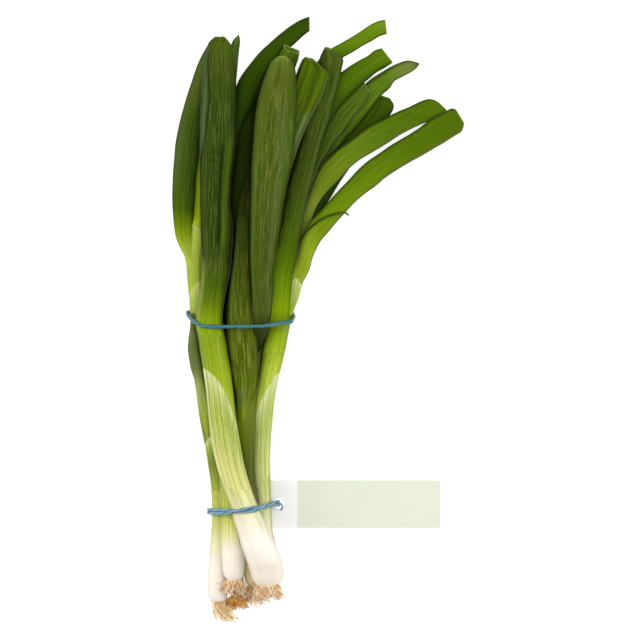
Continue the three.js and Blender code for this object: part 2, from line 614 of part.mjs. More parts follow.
leaf('leaf_upper_high', LEAF_LIGHT, [
  [192.6, 9.6, 193.5, 16.8], [189, 10.3, 189.8, 18], [185, 12.3, 186.2, 20.2], [180, 15.7, 181.7, 22.6],
  [175, 18.8, 176.5, 25.9], [170, 21.7, 172, 28.4], [165, 24.5, 168.5, 31], [160, 29, 165, 35],
  [156, 35, 161.5, 41], [152, 45, 157.5, 49], [149, 57, 154, 59.5], [146, 72, 150.6, 73],
  [142.6, 92, 146.8, 92], [138.6, 120, 142.4, 120], [134.6, 156, 138, 156],
]);
leaf('leaf_high_long', LEAF_MID, [
  [154.7, 8, 154.8, 15.4], [150, 9.8, 151.6, 17.8], [145, 12.8, 147.2, 21.9], [140, 16.8, 143.8, 24.6],
  [135, 21.3, 139.4, 28.8], [130, 25.8, 134.8, 33.6], [125, 31.8, 132.2, 38.4], [121, 37.3, 130, 43.6],
  [118.5, 42, 128, 49], [116.8, 48, 125.6, 54], [115, 55.5, 122.8, 59], [113.3, 64, 120.2, 65.5],
  [111.4, 78, 117.6, 78.5], [109.4, 98, 115, 98], [107.6, 125, 112.6, 125], [106.6, 162.8, 111, 162.8],
]);
leaf('leaf_high_middle', LEAF_MID, [
  [142.2, 22.2, 150, 25.4], [139.8, 27, 149.2, 29.6], [137.8, 31, 148, 33], [136, 38, 146, 39],
  [133, 48, 142.4, 48], [130.6, 61, 139.4, 61], [128.4, 80, 137.6, 80], [126, 100, 136.6, 100],
  [124.4, 122, 137.4, 122], [123.8, 138, 137, 138], [123.6, 148, 136, 148], [123.6, 157, 134.8, 157],
]);
leaf('leaf_pale_rim', LEAF_DARK, [
  [124.6, 84, 125.3, 84.4], [122.4, 91, 125.3, 92], [120.2, 100, 125.1, 100.6], [119, 110, 124.9, 110],
  [118.2, 120, 124.7, 120], [117.2, 130, 124.8, 130], [115.8, 140, 125.2, 140], [114.8, 150, 125.6, 150],
  [114.2, 160, 126.4, 160], [114, 168, 127, 168], [114.8, 176, 127.4, 176], [115.6, 185, 127.4, 185],
  [116.8, 194, 126.8, 194], [117.6, 201.6, 125.8, 201.6],
], { flat: 0.38, round: 0.2 });
leaf('leaf_front_right', LEAF_DARK, [
  [162.4, 23.5, 164.8, 23.9], [160, 28.6, 171.2, 28.8], [159.2, 34, 170.8, 34.6], [158, 40, 169.7, 40.6],
  [155.5, 50, 167.1, 50], [153.5, 60, 164.7, 60], [151, 70, 161.1, 70], [148, 80, 158.5, 80],
  [145, 90, 156.1, 90], [142.4, 100, 153.7, 100], [140.4, 110, 151.5, 110], [138.7, 120, 149.7, 120],
  [137.2, 130, 148.2, 130], [136, 140, 146.2, 140], [135.2, 150, 145.2, 150], [134.5, 157, 144.9, 157],
  [134, 162.6, 144.5, 162.6],
], { round: 0.17, sides: 10 });
leaf('leaf_wide_behind', LEAF_DARK, [
  [152.6, 28.5, 156.8, 29.6], [150.6, 31, 164.4, 37], [147.5, 39, 163.2, 42.5], [145, 46, 161.1, 48.5],
  [143, 53, 158.1, 54.5], [141, 61, 154.6, 61], [138.6, 69, 151.4, 68], [136.6, 80, 147.4, 79],
  [134.6, 94, 143.4, 93], [132.6, 110, 140.4, 110], [130.8, 128, 137, 128], [130, 143, 135, 143],
  [129.4, 157, 133.4, 157],
], { flat: 0.26, sides: 10 });
leaf('leaf_front_middle', LEAF_DARK, [
  [139.2, 28.3, 142.9, 28.3], [135.8, 31, 146.2, 31.1], [133.4, 36, 147.8, 36.5], [131.3, 42, 148.1, 42],
  [129.4, 49, 148.1, 49], [128, 56, 148.1, 56], [127.3, 65, 147.8, 65], [126.6, 75, 147, 75],
  [126, 83, 146, 83], [125.8, 91, 144, 91], [125.6, 101, 141.8, 101], [125.3, 112, 139.6, 112],
  [125.3, 125, 137.2, 125], [125.6, 136, 135.7, 136], [126.1, 147, 135.2, 147], [126.8, 157, 134.2, 157],
  [127.7, 165, 132.6, 165], [128.2, 171, 131.3, 171], [128.8, 176, 130.2, 176],
], { flat: 0.27, round: 0.5, sides: 10 });
leaf('leaf_front_point', LEAF_DARK, [
  [118.8, 17.4, 119.6, 17.6], [116.4, 20, 120, 20.6], [114.4, 25, 119.5, 25.4], [112.4, 32, 118.9, 32],
  [110.4, 44, 117.8, 44], [108.6, 62, 116.4, 62], [107, 86, 114.4, 86], [105.6, 114, 112, 114],
  [104.6, 140, 109.6, 140], [104, 162.8, 108, 162.8],
]);
leaf('leaf_front_left', LEAF_DARK, [
  [107.2, 18.4, 112.4, 18.3], [104.2, 21.3, 115.2, 21.9], [102.4, 27.5, 116.6, 27.5], [101.1, 36, 117.8, 36],
  [100.5, 48, 118.3, 48], [99.9, 60, 118.3, 60], [99.8, 73, 117.9, 73], [99.9, 87, 116.1, 87],
  [100.1, 100, 115.2, 100], [100.3, 112, 116.3, 112], [100.6, 124, 116.2, 124], [100.9, 135, 115.4, 135],
  [100.3, 145, 113.3, 145], [99, 155, 112, 155], [98.1, 162.7, 111.6, 162.7],
], { flat: 0.29, round: 0.9, sides: 10 });
const rootA = shank('onion_front_shank', SHANK_GREEN, [
  [98.2, 163.3, 111.5, 163.3], [99.4, 170, 113, 170], [100.2, 176, 113.7, 176], [101.6, 185, 115.3, 185],
  [103.2, 197, 116.8, 197], [104.5, 210, 118.2, 210], [106, 222, 120.2, 222], [108, 231, 121.9, 231],
  [110.5, 240, 124.3, 240], [113.3, 247.5, 126.8, 247.5], [115.3, 253, 129, 253], [117, 260, 132, 260],
  [119.2, 267, 135.4, 267], [121.3, 274.5, 139, 274.5], [123.6, 281, 141.4, 281], [125, 286, 142, 286],
  [126.3, 290.2, 141.2, 289.8], [128.8, 293, 138.8, 292.6],
]);
tuft('onion_front_roots', ROOT_TAN, rootA, { sweep: [1, 9], strands: 14, seed: 71 });
makeUpperBand();
makeLowerBand();

// The origin is the middle of the footprint, at the height of the surface under the bunch.
const box = new THREE.Box3();
group.children.forEach((mesh) => box.union(new THREE.Box3().setFromBufferAttribute(mesh.geometry.attributes.position)));
const middle = box.getCenter(new THREE.Vector3());
group.children.forEach((mesh) => mesh.geometry.translate(-middle.x, -middle.y, -box.min.z));

export default group;
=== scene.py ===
"""A bunch of six spring onions in two elastic bands, with a blank paper tag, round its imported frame.

Every leaf and stem is a surface of two parameters: how far it is from the leaf's cut end, and the angle
round it. The frame's solids give each one's edges, height and thickness, and the classes below give the
rest: hollow cut ends, creases, sheaths that open out, streaked wax bloom, root hairs, twisted elastic and
card.
"""

from __future__ import annotations

import logging
from dataclasses import dataclass, field, replace
from enum import Enum

import bpy
import numpy as np
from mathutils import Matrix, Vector
from numpy.typing import NDArray


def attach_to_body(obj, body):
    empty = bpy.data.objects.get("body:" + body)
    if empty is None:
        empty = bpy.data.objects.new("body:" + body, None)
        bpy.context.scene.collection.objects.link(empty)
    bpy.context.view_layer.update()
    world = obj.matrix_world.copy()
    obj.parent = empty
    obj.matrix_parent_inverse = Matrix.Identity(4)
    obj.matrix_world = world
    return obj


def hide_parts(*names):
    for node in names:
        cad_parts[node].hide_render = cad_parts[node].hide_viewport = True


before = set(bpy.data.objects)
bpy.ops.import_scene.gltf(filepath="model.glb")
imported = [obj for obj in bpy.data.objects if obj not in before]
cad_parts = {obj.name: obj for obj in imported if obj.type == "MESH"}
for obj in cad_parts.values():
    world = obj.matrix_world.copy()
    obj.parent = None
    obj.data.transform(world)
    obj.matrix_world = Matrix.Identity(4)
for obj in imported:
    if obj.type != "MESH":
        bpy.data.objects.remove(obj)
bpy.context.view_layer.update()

Array = NDArray[np.float64]
MM = 0.001
ORIGIN_DEPTH = 160.4
LOG = logging.getLogger("spring_onions")


class Slot(Enum):
    """The record's material slots."""

    SHANK_GREEN = "shank_green"
    SHANK_PALE = "shank_pale"
    ROOT_TAN = "root_tan"
    ROOT_BROWN = "root_brown"
    LEAF_DARK = "leaf_dark"
    LEAF_MID = "leaf_mid"
    LEAF_LIGHT = "leaf_light"
    LEAF_LIME = "leaf_lime"
    ELASTIC = "elastic"
    TAG_PAPER = "tag_paper"


class Tip(Enum):
    """How the upper end of a leaf is finished."""

    OPEN = "cut across, so that the hollow shows"
    CLOSED = "drawn together to a rounded end"


def linear(code: str) -> tuple[float, float, float]:
    """Turns an sRGB hex colour to linear red, green and blue.

    Args:
        code: the colour as "#rrggbb".

    Returns:
        The three linear values.
    """
    values = [int(code[i : i + 2], 16) / 255 for i in (1, 3, 5)]
    return tuple(v / 12.92 if v <= 0.04045 else ((v + 0.055) / 1.055) ** 2.4 for v in values)


def ease(low: float, high: float, x: Array | float) -> Array:
    """The smooth step: 0 below low, 1 above high, and 3t^2 - 2t^3 between.

    Args:
        low: where it starts.
        high: where it is done.
        x: where it is wanted.

    Returns:
        The step at x.
    """
    t = np.clip((np.asarray(x, float) - low) / (high - low), 0, 1)
    return t * t * (3 - 2 * t)


def smooth(where: Array, marks: Array, values: Array) -> Array:
    """Runs a smooth curve through values at marks: cubics, each mark's slope that of its two neighbours.

    Args:
        where: the places that are wanted; past either end the curve goes straight on.
        marks: the places of the values, rising.
        values: the values, one row to a mark.

    Returns:
        The values at where.
    """
    values = values.reshape(len(marks), -1)
    slope = np.empty_like(values)
    slope[1:-1] = (values[2:] - values[:-2]) / (marks[2:] - marks[:-2])[:, None]
    slope[0] = (values[1] - values[0]) / (marks[1] - marks[0])
    slope[-1] = (values[-1] - values[-2]) / (marks[-1] - marks[-2])
    inside = np.clip(where, marks[0], marks[-1])
    i = np.clip(np.searchsorted(marks, inside, side="right") - 1, 0, len(marks) - 2)
    span = (marks[i + 1] - marks[i])[:, None]
    t = (inside - marks[i])[:, None] / span
    out = (
        (2 * t**3 - 3 * t**2 + 1) * values[i]
        + (t**3 - 2 * t**2 + t) * span * slope[i]
        + (3 * t**2 - 2 * t**3) * values[i + 1]
        + (t**3 - t**2) * span * slope[i + 1]
    )
    ends = np.where((where < marks[0])[:, None], slope[0], slope[-1])
    return out + ends * (where - inside)[:, None]


def merged(node: str) -> tuple[Array, Array]:
    """A node's corners with doubles merged, and its edges.

    Args:
        node: the name of the node.

    Returns:
        The corners, and the edges as pairs of corner numbers.
    """
    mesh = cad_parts[node].data
    mesh.calc_loop_triangles()
    corners = np.empty(len(mesh.vertices) * 3)
    mesh.vertices.foreach_get("co", corners)
    corners = corners.reshape(-1, 3)
    faces = np.empty(len(mesh.loop_triangles) * 3, np.int32)
    mesh.loop_triangles.foreach_get("vertices", faces)
    _, first, same = np.unique(np.round(corners * 1e6), axis=0, return_index=True, return_inverse=True)
    faces = same.ravel()[faces].reshape(-1, 3)
    pairs = np.concatenate([faces[:, [0, 1]], faces[:, [1, 2]], faces[:, [2, 0]]])
    return corners[first], np.unique(np.sort(pairs, axis=1), axis=0)


@dataclass(frozen=True)
class Loft:
    """The cross-sections of a leaf or stem, cut end first, in metres."""

    left: Array
    right: Array
    middle: Array
    height: Array

    @classmethod
    def of_node(cls, node: str) -> Loft:
        """Reads the rings of a lofted solid, by their distance in edges from the upper end's centre.

        Args:
            node: the name of the node.

        Returns:
            Its sections.
        """
        corners, edges = merged(node)
        degree = np.bincount(edges.ravel(), minlength=len(corners))
        ends = np.flatnonzero(degree >= 8)
        level = np.full(len(corners), -1)
        level[max(ends, key=lambda i: corners[i, 1])] = 0
        step = 0
        while (level < 0).any():
            at = level == step
            near = np.concatenate([edges[at[edges[:, 0]], 1], edges[at[edges[:, 1]], 0]])
            step += 1
            level[near[level[near] < 0]] = step
        rings = np.array([corners[level == k] for k in range(1, step)])
        centre = rings[:, :, :2].mean(1)
        offset = rings[:, :, :2] - centre[:, None]
        xx, yy, xy = (offset[..., 0] ** 2).sum(1), (offset[..., 1] ** 2).sum(1), offset.prod(2).sum(1)
        angle = 0.5 * np.arctan2(2 * xy, xx - yy)
        across = np.stack([np.cos(angle), np.sin(angle)], 1)
        travel = np.gradient(centre, axis=0)
        turned = np.stack([-travel[:, 1], travel[:, 0]], 1)
        across *= np.sign((across * turned).sum(1))[:, None]
        reach = np.sort((offset * across[:, None]).sum(2), axis=1)
        top, bottom = rings[:, :, 2].max(1), rings[:, :, 2].min(1)
        return cls(
            centre + across * reach[:, :1],
            centre + across * reach[:, -1:],
            (top + bottom) / 2,
            top - bottom,
        )

    @property
    def along(self) -> Array:
        """How far each section's centre is from the first, along the piece."""
        centre = (self.left + self.right) / 2
        steps = np.linalg.norm(np.diff(centre, axis=0), axis=1)
        return np.concatenate([[0.0], np.cumsum(steps)])

    @property
    def table(self) -> Array:
        """All the sections as rows of six numbers."""
        return np.column_stack([self.left, self.right, self.middle, self.height])

    @classmethod
    def of_table(cls, rows: Array) -> Loft:
        """The sections that rows of six numbers say."""
        return cls(rows[:, 0:2], rows[:, 2:4], rows[:, 4], rows[:, 5])

    def at(self, where: Array) -> Loft:
        """The sections at given distances from the first."""
        return Loft.of_table(smooth(np.asarray(where, float), self.along, self.table))

    def depth(self) -> Array:
        """Each section's place down the bunch, which rises from leaf ends to roots."""
        return -(self.left[:, 1] + self.right[:, 1]) / 2

    def grafted(self, host: Loft, start: float, end: float, grow: float) -> Loft:
        """Leads the lower end into another piece, as a leaf's base wraps the stem below it.

        Between start and end each section turns smoothly into the host's own section there, grown a little.
        Below the last two millimetres it sinks under the host's skin, so no step is left.

        Args:
            host: the sections of the piece below.
            start: the depth where the change begins.
            end: the depth where the piece is gone.
            grow: how far it stands outside the host.

        Returns:
            The longer piece.
        """
        mine = self.table[self.depth() < end - 2 * MM]
        last = mine[-1, [1, 3]].mean() * -1
        more = np.arange(last + 3 * MM, end + 0.1 * MM, 3 * MM)
        order = np.argsort(host.depth())
        asked = np.concatenate([-(mine[:, 1] + mine[:, 3]) / 2, more])
        target = smooth(asked, host.depth()[order], host.table[order])
        rows = np.vstack([mine, smooth(more, self.depth(), self.table)])
        weight = ease(start, min(end - 4 * MM, last + 4 * MM), asked)[:, None]
        across = target[:, 2:4] - target[:, 0:2]
        across /= np.linalg.norm(across, axis=1)[:, None]
        stand = (grow - (grow + 0.3 * MM) * ease(end - 6 * MM, end, asked))[:, None]
        target = target + np.hstack([-across * stand, across * stand, 0 * stand, 2 * stand])
        return Loft.of_table(rows + (target - rows) * weight)

    def wider(self, table: tuple[tuple[float, float, float], ...]) -> Loft:
        """The same piece, its edges moved out by a table of depth, left and right, in millimetres."""
        if not table:
            return self
        depth, left, right = np.array(table).T
        depth = (depth - ORIGIN_DEPTH) * MM
        across = self.right - self.left
        across = across / np.linalg.norm(across, axis=1)[:, None]
        left = np.interp(self.depth(), depth, left)[:, None] * MM
        right = np.interp(self.depth(), depth, right)[:, None] * MM
        return replace(self, left=self.left - across * left, right=self.right + across * right)


@dataclass(frozen=True)
class Stripe:
    """A lengthwise stripe of another colour, along points of (millimetres from the end, share across)."""

    path: tuple[tuple[float, float], ...]
    width: float
    colour: str
    amount: float
    fade: float = 8.0

    def share(self, along: Array, across: Array) -> Array:
        """How strong the stripe is: a bell across the leaf, which fades at both ends.

        Args:
            along: millimetres from the cut end.
            across: -1 at the left edge to 1 at the right.

        Returns:
            A share from 0 to 1.
        """
        marks, places = np.array(self.path).T
        bell = np.exp(-(((across - np.interp(along, marks, places)) / self.width) ** 2))
        begun = ease(marks[0] - self.fade, marks[0], along)
        ends = begun * (1 - ease(marks[-1], marks[-1] + self.fade, along))
        return bell * ends


@dataclass(frozen=True)
class Crease(Stripe):
    """A stripe pressed in by a depth, with the skin beyond it standing up by a step, in millimetres; its
    colour is laid along the dent as painted shade.
    """

    depth: float = 0.5
    step: float = 0.0

    def drop(self, along: Array, across: Array) -> Array:
        """How far each point sinks, in metres: a bell along the line, less a step that dies away past it."""
        marks, places = np.array(self.path).T
        past = across - np.interp(along, marks, places)
        begun = ease(marks[0] - self.fade, marks[0], along)
        ends = begun * (1 - ease(marks[-1], marks[-1] + self.fade, along))
        rise = ease(-0.5 * self.width, self.width, past) * (1 - ease(0.15, 0.75, past)) * ends
        return (self.depth * self.share(along, across) - self.step * rise) * MM


@dataclass(frozen=True)
class Patch:
    """What a skin looks like: colours by millimetres from its upper end, stripes, creases and wax bloom,
    darkened toward its sides as painted shade.
    """

    stops: tuple[tuple[float, str], ...]
    stripes: tuple[Stripe, ...] = ()
    wax: tuple[tuple[float, str, float], ...] = ((0, "#6f7c50", 0.5),)
    lip: str = "#93a055"
    inner: str = "#46600c"
    veins: tuple[tuple[float, float], ...] = ((0, 1.0),)
    # edge: how much the colour darkens toward both sides, by millimetres from the end: painted shade where
    # the surface turns away
    edge: tuple[tuple[float, float], ...] = ((0, 0.5),)
    # under: the green that faces looking down keep; stops darker than it are painted shade, shown on faces
    # looking up only
    under: str = "#30480a"

    def tint(self, along: Array, across: Array, upper: Array, lip: Array, inner: Array) -> Array:
        """The skin's colour before its fine pattern, darkened toward both sides as painted shade.

        Args:
            along: millimetres from the cut end.
            across: -1 at the left edge to 1 at the right.
            upper: 1 where the face looks up, 0 where it looks down; the stripes, and the stops darker than
                the under colour, which are painted shade, show only where it looks up.
            lip: 1 on the cut edge of a hollow end.
            inner: 1 on the inside of a hollow end.

        Returns:
            Linear red, green and blue for each point.
        """
        tint = self.ramp(self.stops, along)
        # Painted shade: stops darker than the under colour darken only the faces that look up; faces that
        # look down keep at least the under green.
        below = np.maximum(tint, linear(self.under))
        tint = below + (tint - below) * upper[..., None]
        for stripe in self.stripes:
            share = (stripe.amount * stripe.share(along, across) * upper)[..., None]
            tint = tint + (np.array(linear(stripe.colour)) - tint) * share
        # Painted shade: the colour darkens toward both sides, by the edge table.
        turned = np.interp(along, *np.array(self.edge).T) * ease(0.72, 1.0, np.abs(across))
        tint = tint * (1 - turned)[..., None]
        tint = tint + (np.array(linear(self.inner)) - tint) * inner[..., None]
        return tint + (np.array(linear(self.lip)) - tint) * lip[..., None]

    @staticmethod
    def ramp(stops: tuple[tuple[float, str], ...], along: Array) -> Array:
        """Runs straight between the linear colours of the stops."""
        colours = np.array([linear(c) for _, c in stops])
        marks = [m for m, _ in stops]
        return np.stack([np.interp(along, marks, colours[:, k]) for k in range(3)], -1)

    def bloom(self, along: Array) -> tuple[Array, Array]:
        """The bloom's colour and its strength at each point."""
        strength = np.interp(along, [m for m, _, _ in self.wax], [a for _, _, a in self.wax])
        return self.ramp([(m, c) for m, c, _ in self.wax], along), strength


def swell(along: Array, angle: Array, seed: int, size: float) -> Array:
    """The slow unevenness of a grown surface: five waves of falling height, each of its own length.

    Args:
        along: millimetres from the cut end.
        angle: the angle round the piece.
        seed: picks the waves.
        size: the greatest height, in metres.

    Returns:
        How far each point moves out.
    """
    random = np.random.default_rng(seed)
    total = np.zeros_like(along)
    for k in range(5):
        length = 62 / (1 + 0.9 * k) * random.uniform(0.8, 1.25)
        phase = random.uniform(0, 2 * np.pi, 2)
        lengthwise = np.sin(2 * np.pi * along / length + phase[0])
        total += lengthwise * np.cos((k % 3 + 1) * angle + phase[1]) / (1 + k)
    return size * total / 2.3


def solid(
    name: str, rings: Array, uv: Array, poles: tuple[Array, Array], data: dict[str, Array]
) -> bpy.types.Object:
    """Puts closed rings of points into a mesh, with a fan at each end.

    Args:
        name: the piece's name.
        rings: the points, as rows of rings.
        uv: the pattern's place at each point, with one column more than the rings, for the seam.
        poles: the centre points of the two ends.
        data: attributes by name, one value or colour to a point.

    Returns:
        The object.
    """
    rows, columns = rings.shape[:2]
    points = np.vstack([rings.reshape(-1, 3), poles[0], poles[1]])
    row, column = np.meshgrid(np.arange(rows - 1), np.arange(columns), indexing="ij")
    row, column = row.ravel(), column.ravel()
    right = (column + 1) % columns
    quads = np.stack(
        [
            row * columns + column, row * columns + right, (row + 1) * columns + right,
            (row + 1) * columns + column
        ],
        1,
    )
    around = np.arange(columns)
    after = (around + 1) % columns
    first, last = rows * columns, (rows - 1) * columns
    starts = np.stack([after, around, np.full(columns, first)], 1)
    ends = np.stack([last + around, last + after, np.full(columns, first + 1)], 1)
    places = np.concatenate(
        [
            np.stack(
                [uv[row, column], uv[row, column + 1], uv[row + 1, column + 1], uv[row + 1, column]], 1
            ).reshape(-1, 2),
            np.stack([uv[0, around + 1], uv[0, around], uv[0, around]], 1).reshape(-1, 2),
            np.stack([uv[-1, around], uv[-1, around + 1], uv[-1, around]], 1).reshape(-1, 2),
        ]
    )
    triangles = np.concatenate([quads[:, :3], quads[:, [0, 2, 3]], starts, ends])
    a, b, c = (points[triangles[:, k]] for k in range(3))
    flip = (a * np.cross(b, c)).sum() < 0
    faces = [f[:, ::-1] if flip else f for f in (quads, starts, ends)]
    if flip:
        counts = [4] * len(quads) + [3] * (2 * columns)
        edge = np.cumsum([0] + counts)
        order = np.concatenate([np.arange(e - 1, s - 1, -1) for s, e in zip(edge[:-1], edge[1:])])
        places = places[order]
    mesh = bpy.data.meshes.new(name)
    mesh.from_pydata(points.tolist(), [], [f for group in faces for f in group.tolist()])
    mesh.uv_layers.new(name="UVMap").data.foreach_set("uv", places.astype(np.float32).ravel())
    mesh.polygons.foreach_set("use_smooth", np.ones(len(mesh.polygons), bool))
    for key, values in data.items():
        tail = values.reshape(rows * columns, -1)
        tail = np.vstack([tail, tail[:columns].mean(0), tail[-columns:].mean(0)])
        if tail.shape[1] == 3:
            colour = mesh.color_attributes.new(name=key, type="FLOAT_COLOR", domain="POINT")
            colour.data.foreach_set(
                "color", np.hstack([tail, np.ones((len(tail), 1))]).astype(np.float32).ravel()
            )
        else:
            mesh.attributes.new(key, "FLOAT", "POINT").data.foreach_set(
                "value", tail.astype(np.float32).ravel()
            )
    mesh.update()
    piece = bpy.data.objects.new(name, mesh)
    bpy.context.scene.collection.objects.link(piece)
    return piece


@dataclass(frozen=True)
class Body:
    """A leaf or stem: a tube through a loft's sections, with relief, colour and an open or closed end."""

    name: str
    loft: Loft
    patch: Patch
    tip: Tip = Tip.OPEN
    seed: int = 1
    square: float = 2.2
    rough: float = 0.2
    wall: float = 0.6
    hollow: float = 14.0
    slant: float = 0.0
    columns: int = 72
    spacing: float = 1.1
    creases: tuple[Crease, ...] = ()

    def rows(self) -> tuple[Array, Array, Array, Array]:
        """The rows of the surface, from the bottom of the hollow out over the lip and down to the base.

        Returns:
            Each row's distance from the cut end, its inset, its share of the full size, and 1 where it is
            the lip.
        """
        total = self.loft.along[-1]
        outer = np.linspace(0.4 * MM, total, max(8, int(total / (self.spacing * MM))))
        if self.tip is Tip.OPEN:
            depth = min(self.hollow * MM, 0.45 * total)
            wall = self.wall * MM
            inner = depth * np.array([1.0, 0.97, 0.8, 0.6, 0.42, 0.26, 0.14, 0.05, 0.015])
            lip = MM * np.array([-0.02, -0.1, -0.1, 0.02, 0.16])
            along = np.concatenate([inner, lip, outer])
            inset = wall * np.concatenate(
                [np.ones(8), [0.95, 0.8, 0.6, 0.35, 0.12, 0.02], np.zeros(len(outer))]
            )
            share = np.concatenate([[0.35, 0.8], np.ones(len(along) - 2)])
            edge = np.concatenate([np.zeros(8), [0.5], np.ones(4), [0.6], np.zeros(len(outer))])
        else:
            cap = MM * np.array([-0.55, -0.42, -0.2, 0.1])
            along = np.concatenate([cap, outer])
            inset = np.zeros(len(along))
            share = np.concatenate([[0.3, 0.62, 0.85, 0.96], np.ones(len(outer))])
            edge = np.zeros(len(along))
        foot = total + MM * np.array([0.25, 0.45, 0.55])
        return (
            np.concatenate([along, foot]),
            np.concatenate([inset, np.zeros(3)]),
            np.concatenate([share, [0.9, 0.68, 0.35]]),
            np.concatenate([edge, np.zeros(3)]),
        )

    def build(self) -> bpy.types.Object:
        """Makes the mesh.

        A point is the section's centre plus the half width times c and the half height times s, where c and
        s are the cosine and sine of the angle, each to the power 2 / square. It then moves out by the
        swell, less the creases. A slanting cut moves the upper wall's points down the leaf, by a share that
        fades over the first part.

        Returns:
            The object.
        """
        along, inset, share, edge = self.rows()
        angle = -np.pi / 2 + 2 * np.pi * np.arange(self.columns) / self.columns
        power = 2 / self.square
        c = np.sign(np.cos(angle)) * np.abs(np.cos(angle)) ** power
        s = np.sign(np.sin(angle)) * np.abs(np.sin(angle)) ** power
        back = 1 - ease(1.0, 5.0, np.abs(along) / (max(self.slant, 0.1) * MM))
        ragged = 0.09 * np.sin(5 * angle + self.seed) + 0.07 * np.sin(11 * angle + 2 * self.seed)
        droop = self.slant * ease(0.0, 0.7, s) * (1 - 0.35 * c**2) + min(1.0, self.slant) * ragged
        place = along[:, None] + MM * back[:, None] * droop
        cut = self.loft.at(place.ravel())
        grid = place.shape
        centre = ((cut.left + cut.right) / 2).reshape(*grid, 2)
        half = ((cut.right - cut.left) / 2).reshape(*grid, 2)
        width = np.linalg.norm(half, axis=2)
        unit = half / width[..., None]
        wide = np.maximum(width - inset[:, None], 0.12 * MM) * share[:, None]
        high = np.maximum(cut.height.reshape(grid) / 2 - inset[:, None], 0.1 * MM) * share[:, None]
        far = place / MM
        side = np.broadcast_to(c, grid)
        upper = np.broadcast_to(ease(-0.25, 0.35, s), grid)
        move = swell(far, np.broadcast_to(angle, grid), self.seed, self.rough * MM)
        move = move * np.minimum(1, high / (1.2 * MM))
        for crease in self.creases:
            move = move - crease.drop(far, side) * upper
        move = move * ((inset <= 0) & (share >= 0.84))[:, None]
        flat = centre + unit * (wide * c + move * np.cos(angle))[..., None]
        rise = cut.middle.reshape(grid) + high * s + move * np.sin(angle)
        rings = np.concatenate([flat, np.maximum(rise, 0.02 * MM)[..., None]], 2)
        lip = np.broadcast_to(edge[:, None], grid)
        inner = np.broadcast_to(((inset > 0) & (edge < 1))[:, None], grid).astype(float)
        turn = np.sqrt((np.median(width) ** 2 + np.median(cut.height / 2) ** 2) / 2)
        u = 2 * np.pi * turn / MM * np.arange(self.columns + 1) / self.columns
        uv = np.stack([np.broadcast_to(u, (grid[0], len(u))), np.hstack([far, far[:, :1]])], 2)
        wax, bloom = self.patch.bloom(far)
        # Painted shade: the pale bloom is thinned toward the sides and along the creases, so that they come
        # out darker.
        bare = np.prod([1 - crease.share(far, side) for crease in self.creases], axis=0)
        data = {
            "tint": self.patch.tint(far, side, upper, 0.8 * lip, 0.9 * inner),
            "wax": wax,
            "bloom": bloom * (1 - inner) * (1 - lip) * (1 - 0.75 * ease(0.68, 1.0, np.abs(side))) * bare,
            "veins": np.interp(far, *np.array(self.patch.veins).T),
        }
        ends = rings[0].mean(0), rings[-1].mean(0)
        return solid(self.name, rings, uv + 37.0 * self.seed, ends, data)


def add(
    tree: bpy.types.NodeTree, kind: str, inputs: dict | None = None, **settings: object
) -> bpy.types.Node:
    """Adds a shader node.

    Args:
        tree: the material's nodes.
        kind: the node's type.
        inputs: a value, or the socket to link, by the input's name or number.
        settings: the node's own properties.

    Returns:
        The node.
    """
    made = tree.nodes.new(kind)
    for key, value in settings.items():
        setattr(made, key, value)
    for key, value in (inputs or {}).items():
        if isinstance(value, bpy.types.NodeSocket):
            tree.links.new(value, made.inputs[key])
        else:
            made.inputs[key].default_value = value
    return made


@dataclass(frozen=True)
class Finish:
    """A material's name and the values of its shader."""

    name: str
    roughness: float = 0.5
    shader: dict[str, object] = field(default_factory=dict)

    def start(self) -> tuple[bpy.types.Material, bpy.types.NodeTree, bpy.types.Node]:
        """Makes the material with its shader.

        Returns:
            The material, its nodes and the shader node.
        """
        material = bpy.data.materials.new(self.name)
        material.use_nodes = True
        tree = material.node_tree
        tree.nodes.clear()
        shader = add(tree, "ShaderNodeBsdfPrincipled", {"Roughness": self.roughness, **self.shader})
        add(tree, "ShaderNodeOutputMaterial", {"Surface": shader.outputs[0]})
        return material, tree, shader


